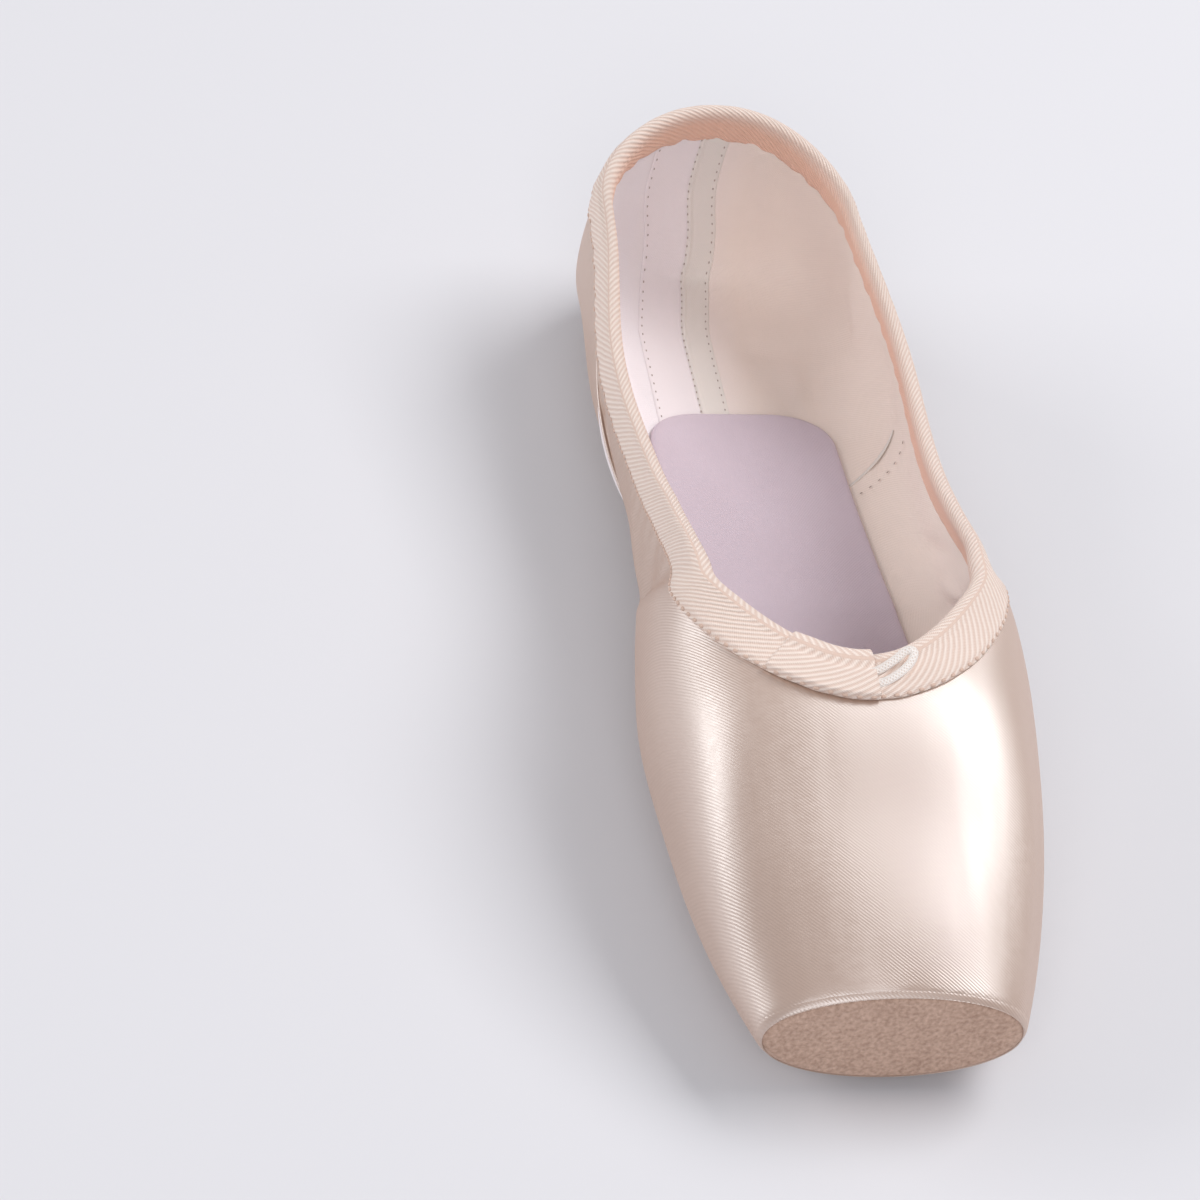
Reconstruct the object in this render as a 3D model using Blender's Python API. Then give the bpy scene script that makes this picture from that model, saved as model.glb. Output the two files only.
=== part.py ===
"""A pointe shoe, unworn, standing on its sole: toe towards -Y, heel towards +Y, metres, +Z up.

Every piece is read from one form, the last: superellipse sections along the shoe, closed by the flat
platform in front and by a rounded heel behind. The last can be shrunk by an inset, so the same form
gives the outside of the upper, its inside, the tape over its edge, the patch let into its platform,
and the beds of the sole and the insole. Its surface is walked along upright ribs, which fan out
round the toe and the heel and stand side by side between them.

Inside the functions a place is given as x, t, z, where t runs from the platform to the heel.
"""

import math

import bmesh
import bpy
import numpy as np

# Sizes of the last
LENGTH = 0.232
BALL_WIDTH = 0.075
INSTEP_HEIGHT = 0.050
PLATFORM_WIDTH = 0.0502
PLATFORM_HEIGHT = 0.0222
PLATFORM_LIFT = 0.0004
PLATFORM_EDGE = 0.0024
PLATFORM_ROUNDNESS = 2.05
ARCH_RISE = 0.0028
HEEL_HEIGHT = 0.0512
HEEL_ROUNDING = 0.024
HEEL_ROUNDNESS = 2.2
HEEL_BULGE_LEVEL = 0.018
HEEL_LEAN = 0.0038
HEEL_TUCK = 0.005
HEEL_SWING = 0.006
SWING_START = 0.085
THROAT_BOW = 0.0263
HEEL_BOW = 0.0082
BOW_CHANGE = (0.120, 0.160)
WING_STEP = 0.0017
WING_STEP_WIDTH = 0.0025
WING_STEP_REACH = 0.014
WING_END = 0.110
WING_LEVEL = 0.020
WING_SLOPE = 0.75

# Thicknesses, widths and clearances
BOX_WALL = 0.0030
QUARTER_WALL = 0.0015
WALL_TAPER = 0.018
TAPE_THICKNESS = 0.0006
TAPE_DEPTH = 0.0072
PATCH_THICKNESS = 0.0011
PATCH_WRAP = 0.005
SOLE_THICKNESS = 0.0026
SOLE_TIP = 0.018
SOLE_END_GAP = 0.010
SOLE_BALL_WIDTH = 0.052
SOLE_WAIST_WIDTH = 0.029
SOLE_HEEL_WIDTH = 0.039
OPENING_MARGIN = 0.006
INSOLE_THICKNESS = 0.0012
INSOLE_TIP = 0.030
INSOLE_END = 0.181
INSOLE_BALL_WIDTH = 0.048
INSOLE_HEEL_WIDTH = 0.0392
INSOLE_CORNER = 0.013
CORD_THICKNESS = 0.0007
CLEARANCE = 0.0003
TAPE_LAP = 0.009
TAPE_LAP_END = 0.001
TAPE_LAP_RISE = 0.010

# The middle line from which the ribs fan out, and how finely things are divided
TOE_CENTRE = 0.086
HEEL_CENTRE = 0.160
CENTRE_LEVEL = 0.022
RIBS = 72
ROWS = 15
TAPE_ROWS = (1.0, 0.5)
PATCH_RINGS = (0.12, 0.5, 0.8, 0.93, 1.0)
ROWS_PER_BEND = 0.014
RAY = 0.15
RAY_STEPS = 36

# Sections of the last: the station as a share of LENGTH, the half width as a share of half the
# BALL_WIDTH, the rise of the bottom as a share of ARCH_RISE, the level of the widest point and the
# crown as shares of INSTEP_HEIGHT, and the exponents of the section above and below that level
SECTIONS = (
    (0.05, 0.770, 0.25, 0.30, 0.62, 2.20, 2.30),
    (0.15, 0.904, -0.08, 0.31, 0.79, 3.10, 2.50),
    (0.25, 0.974, -0.12, 0.32, 0.95, 3.10, 2.60),
    (0.34, 1.000, -0.08, 0.33, 1.00, 3.10, 2.60),
    (0.45, 0.914, 0.40, 0.36, 1.25, 2.20, 2.50),
    (0.60, 0.836, 0.93, 0.40, 1.28, 2.10, 2.40),
    (0.75, 0.867, 0.50, 0.41, 1.40, 1.82, 2.40),
    (0.88, 0.792, -0.08, 0.41, 1.52, 1.82, 2.50),
    (1.00, 0.792, -0.12, 0.41, 1.60, 1.82, 2.50),
)

# The top line in side view: the station as a share of LENGTH, and a height made of a share of
# INSTEP_HEIGHT and a share of HEEL_HEIGHT
COLLAR = (
    (0.230, 1.317, 0.0),
    (0.265, 0.985, 0.0),
    (0.299, 0.934, 0.0),
    (0.371, 0.838, 0.0),
    (0.453, 0.729, 0.0),
    (0.560, 0.670, 0.0),
    (0.690, 0.682, 0.0),
    (0.819, 0.0, 0.778),
    (0.927, 0.0, 0.858),
    (1.034, 0.0, 1.120),
)

# The sole's outline: a share of its length, and a half width made of shares of half its three widths
SOLE = (
    # station, ball, waist, heel
    (0.00, 0.64, 0.0, 0.0),
    (0.12, 0.86, 0.0, 0.0),
    (0.28, 1.00, 0.0, 0.0),
    (0.44, 0.50, 0.62, 0.0),
    (0.60, 0.0, 1.0, 0.0),
    (0.76, 0.0, 0.20, 0.78),
    (0.90, 0.0, 0.0, 1.0),
    (1.00, 0.0, 0.0, 0.90),
)

# The drawstring's loop over the tape, by hand: sideways of the middle, down from the collar's edge,
# and lift over the tape, in metres
DRAWSTRING = (
    (-0.0066, 0.0022, 0.0000),
    (-0.0030, 0.0022, 0.0000),
    (0.0010, 0.0018, 0.0000),
    (0.0040, 0.0009, 0.0001),
    (0.0066, 0.0002, 0.0003),
    (0.0086, 0.0000, 0.0005),
    (0.0096, 0.0006, 0.0005),
    (0.0090, 0.0016, 0.0003),
    (0.0068, 0.0026, 0.0001),
    (0.0040, 0.0036, 0.0000),
    (0.0008, 0.0044, 0.0000),
    (-0.0030, 0.0046, 0.0000),
    (-0.0066, 0.0046, 0.0000),
)


def spline(stations, values):
    """The natural cubic through a table's points, as a function of the station."""
    x = np.asarray(stations, float)
    y = np.asarray(values, float)
    gap = np.diff(x)
    slope = np.diff(y) / gap
    system = np.zeros((len(x), len(x)))
    system[0, 0] = 1.0
    system[-1, -1] = 1.0
    right = np.zeros(len(x))
    for i in range(1, len(x) - 1):
        system[i, i - 1:i + 2] = gap[i - 1], 2 * (gap[i - 1] + gap[i]), gap[i]
        right[i] = 6 * (slope[i] - slope[i - 1])
    bend = np.linalg.solve(system, right)

    def at(station):
        s = np.clip(station, x[0], x[-1])
        i = np.clip(np.searchsorted(x, s) - 1, 0, len(x) - 2)
        d = s - x[i]
        first = slope[i] - gap[i] * (2 * bend[i] + bend[i + 1]) / 6
        return y[i] + d * (first + d * (bend[i] / 2 + d * (bend[i + 1] - bend[i]) / (6 * gap[i])))

    return at


def section_functions():
    """Half width, bottom, widest level, crown and both exponents as functions of t."""
    floor = SOLE_THICKNESS + CLEARANCE
    bottom = floor + PLATFORM_LIFT
    platform = (0.0, PLATFORM_WIDTH / 2, bottom, bottom + PLATFORM_HEIGHT / 2,
                bottom + PLATFORM_HEIGHT, PLATFORM_ROUNDNESS, PLATFORM_ROUNDNESS)
    rows = [platform]
    for station, width, rise, level, crown, above, below in SECTIONS:
        rows.append((station * LENGTH, width * BALL_WIDTH / 2, floor + rise * ARCH_RISE,
                     level * INSTEP_HEIGHT, crown * INSTEP_HEIGHT, above, below))
    table = np.array(rows)
    return [spline(table[:, 0], table[:, k]) for k in range(1, 7)]


HALF_WIDTH, BOTTOM, LEVEL, CROWN, ABOVE, BELOW = section_functions()
COLLAR_TABLE = np.array(COLLAR)
COLLAR_HEIGHT = spline(COLLAR_TABLE[:, 0] * LENGTH,
                       COLLAR_TABLE[:, 1] * INSTEP_HEIGHT + COLLAR_TABLE[:, 2] * HEEL_HEIGHT)
SOLE_TABLE = np.array(SOLE)
SOLE_HALF = spline(SOLE_TABLE[:, 0], (SOLE_TABLE[:, 1] * SOLE_BALL_WIDTH
                                      + SOLE_TABLE[:, 2] * SOLE_WAIST_WIDTH
                                      + SOLE_TABLE[:, 3] * SOLE_HEEL_WIDTH) / 2)


def heel_back(z):
    """How far in front of its rearmost point the heel's profile stands at height z."""
    up = np.clip((z - HEEL_BULGE_LEVEL) / (HEEL_HEIGHT - HEEL_BULGE_LEVEL), 0, 2)
    down = np.clip((HEEL_BULGE_LEVEL - z) / HEEL_BULGE_LEVEL, 0, 2)
    return HEEL_LEAN * up ** 2 + HEEL_TUCK * down ** 2.5


def wing_line(z):
    """Where the stiff box ends on the shoe's side, at height z."""
    return WING_END - WING_SLOPE * (z - WING_LEVEL)


def outside(t, z):
    """The inset of the upper's outer face: the wing stands out in front of its end and the quarter
    falls in behind it, and both fade away from the line, towards the sole and under the tape."""
    ahead = wing_line(z) - t
    side = np.clip((z - BOX_WALL) / WING_LEVEL, 0, 1) * np.clip(4.4 - 4.6 * z / INSTEP_HEIGHT, 0, 1)
    fade = np.exp(-np.abs(ahead) / WING_STEP_REACH)
    return -WING_STEP * side * np.tanh(ahead / WING_STEP_WIDTH) * fade


def inside(t, z):
    """The inset of the upper's inner face: a thick box and thin quarters."""
    share = np.clip((wing_line(z) - t) / WALL_TAPER + 0.5, 0, 1)
    return QUARTER_WALL + (BOX_WALL - QUARTER_WALL) * share + outside(t, z) * 0.6


def last(x, t, z, inset):
    """Below zero inside the last shrunk by the inset, and above zero outside it."""
    heelward = np.clip((t / LENGTH - 0.72) / 0.28, 0, 1)
    back = t + heel_back(z) * heelward ** 1.5
    width = np.maximum(HALF_WIDTH(back) - inset, PLATFORM_EDGE)
    turn = np.clip((back + inset - (LENGTH - HEEL_ROUNDING)) / HEEL_ROUNDING, 0, 1)
    width = width * np.maximum(1 - turn ** HEEL_ROUNDNESS, 1e-6) ** (1 / HEEL_ROUNDNESS)
    level = LEVEL(back)
    upper = z >= level
    power = np.where(upper, ABOVE(back), BELOW(back))
    height = np.where(upper, CROWN(back) - level, level - BOTTOM(back)) - inset
    reach = (np.minimum(np.abs(x / width), 50) ** power
             + np.abs((z - level) / height) ** power) ** (1 / power)
    side = (reach - 1) * np.minimum(width, 0.03)
    front = inset - t
    blend = np.clip(0.5 + 0.5 * (side - front) / PLATFORM_EDGE, 0, 1)
    joined = side * blend + front * (1 - blend) + PLATFORM_EDGE * blend * (1 - blend)
    return np.where(back + inset > LENGTH, np.maximum(joined, back + inset - LENGTH), joined)


def cast(start, way, face):
    """Where rays from inside the last leave the given face: start and way are arrays (..., 3)."""
    near = np.zeros(np.broadcast(start[..., 0], way[..., 0]).shape)
    far = near + RAY
    for _ in range(RAY_STEPS):
        middle = (near + far) / 2
        x, t, z = (start[..., k] + way[..., k] * middle for k in range(3))
        within = last(x, t, z, face(t, z)) < 0
        near = np.where(within, middle, near)
        far = np.where(within, far, middle)
    return start + way * ((near + far) / 2)[..., None]


def lowered(face, by):
    """The face pushed inwards by a distance, or outwards where that is negative."""
    return lambda t, z: face(t, z) + by


def round_ends(t, start, end, half):
    """A half width brought to nothing at both ends, in quarters of an ellipse as long as it is
    wide there."""
    tip = np.clip((t - start) / half, 0, 1)
    tail = np.clip((end - t) / half, 0, 1)
    return half * np.sqrt(1 - (1 - tip) ** 2) * np.sqrt(1 - (1 - tail) ** 2)


def sole_half_width(t):
    """The sole's half width at t."""
    end = LENGTH - SOLE_END_GAP
    half = SOLE_HALF(np.clip((t - SOLE_TIP) / (end - SOLE_TIP), 0, 1))
    return round_ends(t, SOLE_TIP, end, half)


def opening_half_width(t):
    """Half the width of the opening under the foot, which the sole and the insole both cover."""
    half = SOLE_HALF(np.clip((t - SOLE_TIP) / (LENGTH - SOLE_END_GAP - SOLE_TIP), 0, 1))
    return round_ends(t, INSOLE_TIP + OPENING_MARGIN, INSOLE_END - OPENING_MARGIN,
                      half - OPENING_MARGIN)


def middle_line():
    """Half the way round the last, from the heel over the +X side to the toe: rows of share of the
    outline, foot of the rib on the middle line, and the rib's way across and along."""
    quarter = np.linspace(0, math.pi / 2, 160)
    straight = np.linspace(HEEL_CENTRE, TOE_CENTRE, 200)[1:-1]
    foot = np.concatenate([np.full(160, HEEL_CENTRE), straight, np.full(160, TOE_CENTRE)])
    across = np.concatenate([np.sin(quarter), np.ones(len(straight)), np.cos(quarter)])
    along = np.concatenate([np.cos(quarter), np.zeros(len(straight)), -np.sin(quarter)])
    level = np.full(len(foot), CENTRE_LEVEL)
    start = np.stack([np.zeros(len(foot)), foot, level], 1)
    way = np.stack([across, along, np.zeros(len(foot))], 1)
    rim = cast(start, way, lambda t, z: 0.0)
    run = np.r_[0, np.cumsum(np.linalg.norm(np.diff(rim, axis=0), axis=1))]
    return run / run[-1], foot, across, along


MIDDLE = middle_line()


class Ribs:
    """Upright ribs of the last at shares of its outline, 0 at the heel, 1 at the toe on the +X side,
    and negative on the -X side. A place on a rib is told by the angle of its ray."""

    def __init__(self, shares):
        shares = np.asarray(shares, float)
        turn = np.abs(shares)
        foot, across, along = (np.interp(turn, MIDDLE[0], column) for column in MIDDLE[1:])
        length = np.hypot(across, along)
        self.foot = np.stack([0 * foot, foot, np.full(len(foot), CENTRE_LEVEL)], 1)
        self.across = np.where(shares < 0, -1, 1) * across / length
        self.along = along / length
        self.fine = np.linspace(-math.pi / 2 - 0.5, 0.8 * math.pi, 260)
        skin = self.points(np.broadcast_to(self.fine, (len(foot), 260)), outside)
        step = np.diff(skin, axis=1)
        size = np.linalg.norm(step, axis=2)
        self.run = np.concatenate([np.zeros((len(foot), 1)), np.cumsum(size, axis=1)], axis=1)
        cosine = (step[:, 1:] * step[:, :-1]).sum(2) / (size[:, 1:] * size[:, :-1])
        bend = np.pad(np.arccos(np.clip(cosine, -1, 1)), ((0, 0), (1, 1)))
        self.pace = self.run + ROWS_PER_BEND * np.cumsum(bend, axis=1)
        bow = np.interp(skin[..., 1], BOW_CHANGE, (THROAT_BOW, HEEL_BOW))
        bowed = skin[..., 1] - bow * (skin[..., 0] / (BALL_WIDTH * 0.4)) ** 2
        above = skin[..., 2] - COLLAR_HEIGHT(bowed)
        self.collar = self.crossing(above, len(self.fine) // 5)
        reach = ((skin[..., 0] * self.across[:, None])
                 + (skin[..., 1] - self.foot[:, 1:2]) * self.along[:, None])
        self.sole_edge = self.crossing(reach - self.opening_reach()[:, None], 1)

    def crossing(self, values, first):
        """The angle on each rib where the values first rise through zero."""
        later = np.arange(values.shape[1])[None] >= first
        index = np.argmax((values > 0) & later, axis=1)
        row = np.arange(len(values))
        low = values[row, index - 1]
        high = values[row, index]
        share = np.clip(low / (low - high), 0, 1)
        return self.fine[index - 1] + share * (self.fine[index] - self.fine[index - 1])

    def opening_reach(self):
        """How far the opening under the sole reaches from the middle line on each rib."""
        near = np.zeros(len(self.foot))
        far = near + RAY
        for _ in range(RAY_STEPS):
            middle = (near + far) / 2
            t = self.foot[:, 1] + self.along * middle
            within = np.abs(self.across) * middle < opening_half_width(t)
            near = np.where(within, middle, near)
            far = np.where(within, far, middle)
        return (near + far) / 2

    def points(self, angles, face):
        """Points of a face at an array of ray angles (ribs, rows)."""
        flat = np.cos(angles)
        way = np.stack([self.across[:, None] * flat, self.along[:, None] * flat, np.sin(angles)], 2)
        return cast(self.foot[:, None, :] + 0 * way, way, face)

    def interpolate(self, at, given, wanted):
        """Row by row linear interpolation."""
        return np.array([np.interp(a, g, w) for a, g, w in zip(at, given, wanted)])

    def spread(self, count):
        """Angles from the sole's opening to the collar, crowded where the rib bends, with the last
        rows where the tape has its own."""
        fine = np.broadcast_to(self.fine, self.pace.shape)
        tape = self.down(TAPE_DEPTH * np.ones((len(fine), 1)) * np.array(TAPE_ROWS))
        low = self.interpolate(self.sole_edge[:, None], fine, self.pace)
        high = self.interpolate(tape[:, :1], fine, self.pace)
        steps = low + (high - low) * np.linspace(0, 1, count)[None, :-1]
        return np.c_[self.interpolate(steps, self.pace, fine), tape, self.collar]

    def down(self, distances):
        """Angles at distances (ribs, rows) down the rib from the collar's edge."""
        fine = np.broadcast_to(self.fine, self.run.shape)
        top = self.interpolate(self.collar[:, None], fine, self.run)
        return self.interpolate(top - distances, self.run, fine)


def to_world(points):
    """From the last's x, t, z to the shoe's own frame, whose origin is under the middle. The heel
    has settled a little to one side, and every piece goes with it."""
    back = np.maximum(points[..., 1] - SWING_START, 0.0) / (LENGTH - SWING_START)
    aside = -HEEL_SWING * back ** 1.5
    return points + np.stack([aside, 0 * back - LENGTH / 2, 0 * back], -1)


def material(name, colour, roughness):
    """One plain finish."""
    made = bpy.data.materials.new(name)
    made.use_nodes = True
    shader = made.node_tree.nodes["Principled BSDF"]
    shader.inputs["Base Color"].default_value = (*colour, 1.0)
    shader.inputs["Roughness"].default_value = roughness
    shader.inputs["Metallic"].default_value = 0.0
    return made


def solid(name, rings, capped, finish):
    """A closed solid from a list of equal rings (rings, points, 3): its last ring joins its first,
    or both ends are capped by a ladder of faces from one half of the ring to the other."""
    rings = to_world(np.asarray(rings))
    count, around = rings.shape[:2]
    mesh = bpy.data.meshes.new(name)
    work = bmesh.new()
    corners = [work.verts.new(point) for point in rings.reshape(-1, 3)]
    for i in range(count if not capped else count - 1):
        low = i * around
        high = (i + 1) % count * around
        for k in range(around):
            other = (k + 1) % around
            work.faces.new((corners[low + k], corners[low + other],
                            corners[high + other], corners[high + k]))
    if capped:
        for end in (corners[:around], corners[-around:]):
            for k in range(around // 2 - 1):
                work.faces.new((end[k], end[k + 1], end[-k - 2], end[-k - 1]))
    bmesh.ops.triangulate(work, faces=work.faces[:])
    bmesh.ops.recalc_face_normals(work, faces=work.faces[:])
    work.to_mesh(mesh)
    work.free()
    mesh.shade_smooth()
    mesh.set_sharp_from_angle(angle=math.radians(40))
    piece = bpy.data.objects.new(name, mesh)
    bpy.context.scene.collection.objects.link(piece)
    piece.data.materials.append(finish)
    return piece


def upper(finish):
    """The hollow upper: outer face from the sole's opening up to the collar, and the inner face back
    down."""
    ribs = Ribs(np.linspace(-1, 1, RIBS + 1)[:-1])
    angles = ribs.spread(ROWS)
    outer = ribs.points(angles, outside)
    inner = ribs.points(angles[:, ::-1], inside)
    walls = np.concatenate([outer, inner], axis=1)
    return solid("upper", walls.transpose(1, 0, 2), False, finish)


def patch_form(name, margin, proud, depth, finish):
    """A slab that follows the platform and wraps under its lower edge: margin widens its outline,
    and it reaches from proud of the last's face to a depth under it."""
    bottom = SOLE_THICKNESS + CLEARANCE + PLATFORM_LIFT
    behind = 0.7 * PLATFORM_WIDTH
    centre = np.array([0.0, behind, bottom + PLATFORM_HEIGHT / 2])
    turn = np.linspace(0, 2 * math.pi, 40, endpoint=False)
    power = 2 / PLATFORM_ROUNDNESS
    across = np.sign(np.cos(turn)) * np.abs(np.cos(turn)) ** power
    along = np.sign(np.sin(turn)) * np.abs(np.sin(turn)) ** power
    under = np.maximum(-np.sin(turn), 0) ** 1.5

    def outline(share, more):
        return np.stack([share * (PLATFORM_WIDTH / 2 + more) * across,
                         share * (PATCH_WRAP + more) * under - behind,
                         share * (PLATFORM_HEIGHT / 2 + more) * along], 1)

    outlines = [outline(share, 0.0) for share in PATCH_RINGS]
    if margin > 0:
        outlines.append(outline(1.0, margin))
    ways = np.stack(outlines)
    ways = ways / np.linalg.norm(ways, axis=2, keepdims=True)
    start = np.broadcast_to(centre, ways.shape)
    front = cast(start, ways, lambda t, z: -proud)
    back = cast(start, ways[::-1], lambda t, z: depth)
    return solid(name, np.concatenate([front, back]), True, finish)


def cut(piece, cutter):
    """Takes the cutter out of the piece, and leaves the cutter hidden."""
    cutter.hide_render = True
    cutter.display_type = "WIRE"
    change = piece.modifiers.new("pocket", "BOOLEAN")
    change.operation = "DIFFERENCE"
    change.object = cutter


def sole_solid(name, start, end, stations, half_width, top, bottom, finish):
    """A flat piece under or in the shoe, section by section from its tip to its end."""
    across = np.array([-1.0, -0.86, -0.62, -0.3, 0.0, 0.3, 0.62, 0.86, 1.0])
    share = (1 - np.cos(np.linspace(0.16, math.pi - 0.16, stations))) / 2
    t = start + (end - start) * share
    x = half_width(t)[:, None] * across[None]
    t = np.broadcast_to(t[:, None], x.shape)
    middle = np.stack([x, t, np.full(x.shape, WING_LEVEL)], 2)
    down = np.broadcast_to(np.array([0.0, 0.0, -1.0]), middle.shape)
    bed = cast(middle, down, top)[..., 2]
    lower = bottom(bed)
    upper_face = np.stack([x, t, np.maximum(bed, lower + CLEARANCE)], 2)
    lower_face = np.stack([x, t, lower], 2)
    return solid(name, np.concatenate([upper_face, lower_face[:, ::-1]], axis=1), True, finish)


def outsole(finish):
    """The leather sole: it follows the upper's bottom, pressed flat on the floor at ball and heel."""
    return sole_solid("outsole", SOLE_TIP, LENGTH - SOLE_END_GAP, 34,
                      sole_half_width, lowered(outside, -CLEARANCE),
                      lambda bed: np.maximum(bed - SOLE_THICKNESS, 0.0), finish)


def insole(finish):
    """The sock in the shoe, on the upper's inner face, with a square heel end round at its corners."""
    def half_width(t):
        share = np.clip((t - INSOLE_TIP) / (INSOLE_END - INSOLE_TIP), 0, 1)
        ball = 0.5 * (1 + np.cos(math.pi * np.clip((share - 0.3) / 0.55, 0, 1)))
        half = (INSOLE_HEEL_WIDTH + (INSOLE_BALL_WIDTH - INSOLE_HEEL_WIDTH) * ball) / 2
        tip = np.clip((t - INSOLE_TIP) / (INSOLE_BALL_WIDTH / 2), 0, 1)
        corner = np.clip((t - INSOLE_END) / INSOLE_CORNER + 1, 0, 1)
        return half * np.sqrt(1 - (1 - tip) ** 2) - INSOLE_CORNER * (1 - np.sqrt(1 - corner ** 2))

    def over(t, z):
        return inside(t, z) + CLEARANCE + INSOLE_THICKNESS

    return sole_solid("insole", INSOLE_TIP, INSOLE_END, 26, half_width, over,
                      lambda bed: bed - INSOLE_THICKNESS, finish)


def toe_share(sideways):
    """The share of the outline whose rib meets the throat's edge that far from the middle; it runs
    past 1 on the -X side."""
    ribs = Ribs(np.linspace(0.8, 1.0, 60))
    edge = ribs.points(ribs.collar[:, None], outside)[:, 0, 0]
    share = np.interp(np.abs(sideways), edge[::-1], np.linspace(1.0, 0.8, 60))
    return np.where(np.asarray(sideways) < 0, 2 - share, share)


def wrapped(share):
    """A share that may run past the toe, as one between -1 and 1."""
    return (np.asarray(share) + 1) % 2 - 1


def tape_sections(ribs, lift, depth):
    """The folded tape's cross section on each rib: down the outside, over the edge and down the
    inside at one distance from the wall, and back at its own thickness further out."""
    angles = ribs.down(depth * np.ones((len(ribs.foot), 1)) * np.array(TAPE_ROWS))
    rim_out = ribs.points(ribs.collar[:, None], outside)
    rim_in = ribs.points(ribs.collar[:, None], inside)
    up = ribs.points(ribs.collar[:, None] + 0.02, outside) - rim_out
    half = (rim_out - rim_in) / 2
    centre = (rim_out + rim_in) / 2
    size = np.linalg.norm(half, axis=2, keepdims=True)
    up = up - half * (up * half).sum(2, keepdims=True) / size ** 2
    up = up / np.linalg.norm(up, axis=2, keepdims=True)
    turn = np.linspace(0, math.pi, 5)[None, :, None]
    layers = []
    for extra in (CLEARANCE, CLEARANCE + TAPE_THICKNESS):
        gap = lift[:, None, None] + extra
        arc = centre + (size + gap) * (np.cos(turn) * half / size + np.sin(turn) * up)
        away = np.broadcast_to(gap[..., 0], angles.shape)
        outer = ribs.points(angles, lowered(outside, -away))
        inner = ribs.points(angles, lowered(inside, away))
        layers.append(np.concatenate([outer, arc, inner[:, ::-1]], axis=1))
    return np.concatenate([layers[0], layers[1][:, ::-1]], axis=1)


def lap_lift(shares):
    """How far the tape's second end stands off, to lie over its first end and the drawstring."""
    high = TAPE_THICKNESS + CORD_THICKNESS + 2 * CLEARANCE
    ribs = Ribs(wrapped(shares))
    x = ribs.points(ribs.collar[:, None], outside)[:, 0, 0]
    share = np.clip((x + TAPE_LAP + TAPE_LAP_RISE) / TAPE_LAP_RISE, 0, 1)
    return high * share * share * (3 - 2 * share)


def binding(finish):
    """The tape: it starts under its own end left of the throat's middle, runs round the collar and
    ends folded over its start."""
    first = round(float(toe_share(-TAPE_LAP)) * RIBS / 2)
    final = round((float(toe_share(TAPE_LAP_END)) - 2) * RIBS / 2)
    shares = np.arange(first, final - 1, -1) * 2 / RIBS
    ribs = Ribs(wrapped(shares))
    lift = np.where(shares < -0.75, lap_lift(shares), 0.0)
    sections = tape_sections(ribs, lift, TAPE_DEPTH)
    return solid("binding", sections, True, finish)


def drawstring(finish):
    """The loop of elastic, from under the tape's lap over the tape and back."""
    route = np.array(DRAWSTRING)
    ribs = Ribs(wrapped(toe_share(route[:, 0])))
    angles = ribs.down(route[:, 1:2])
    skin = ribs.points(angles, outside)
    off = (skin - ribs.points(angles, lowered(outside, 0.0005)))[:, 0] / 0.0005
    lift = 2 * CLEARANCE + TAPE_THICKNESS + CORD_THICKNESS / 2 + route[:, 2]
    points = skin[:, 0] + off * lift[:, None]
    run = np.r_[0, np.cumsum(np.linalg.norm(np.diff(points, axis=0), axis=1))]
    fine = np.linspace(0, run[-1], 28)
    smooth = to_world(np.stack([spline(run, points[:, k])(fine) for k in range(3)], 1))
    curve = bpy.data.curves.new("drawstring", "CURVE")
    curve.dimensions = "3D"
    curve.bevel_depth = CORD_THICKNESS / 2
    curve.bevel_resolution = 2
    curve.use_fill_caps = True
    line = curve.splines.new("POLY")
    line.points.add(len(smooth) - 1)
    line.points.foreach_set("co", np.c_[smooth, np.ones(len(smooth))].ravel())
    curve.materials.append(finish)
    piece = bpy.data.objects.new("drawstring", curve)
    bpy.context.scene.collection.objects.link(piece)
    return piece


def main():
    """Clears the scene and builds the shoe."""
    for old in list(bpy.data.objects):
        bpy.data.objects.remove(old)
    satin = material("satin", (0.86, 0.72, 0.66), 0.35)
    tape = material("tape", (0.86, 0.74, 0.66), 0.80)
    suede = material("suede", (0.47, 0.36, 0.28), 0.95)
    leather = material("leather", (0.62, 0.50, 0.38), 0.70)
    sock = material("sock", (0.70, 0.67, 0.74), 0.90)
    elastic = material("elastic", (0.88, 0.82, 0.76), 0.70)
    shell = upper(satin)
    pocket = patch_form("pocket", 1.5 * CLEARANCE, RAY / 50, PATCH_THICKNESS + CLEARANCE, suede)
    cut(shell, pocket)
    patch_form("toe_patch", 0.0, 0.0, PATCH_THICKNESS, suede)
    outsole(leather)
    insole(sock)
    binding(tape)
    drawstring(elastic)


main()
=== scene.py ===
"""A pointe shoe standing on its sole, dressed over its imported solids.

The shoe is read from one form, the last: superellipse sections along the shoe, closed by the flat
platform in front and a rounded heel behind. The pieces are fine surfaces worked out from that form:
satin outside, cloth inside, the folded tape on the edge, suede on the platform, sock, sole, elastic
and stitches. A place on the last is x, t, z in metres, with t from the platform to the heel.
"""

import logging
import math
from dataclasses import dataclass
from enum import Enum
from typing import Callable, Dict, List, Optional, Sequence, Tuple

import bpy
import numpy as np
from mathutils import Matrix


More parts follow.
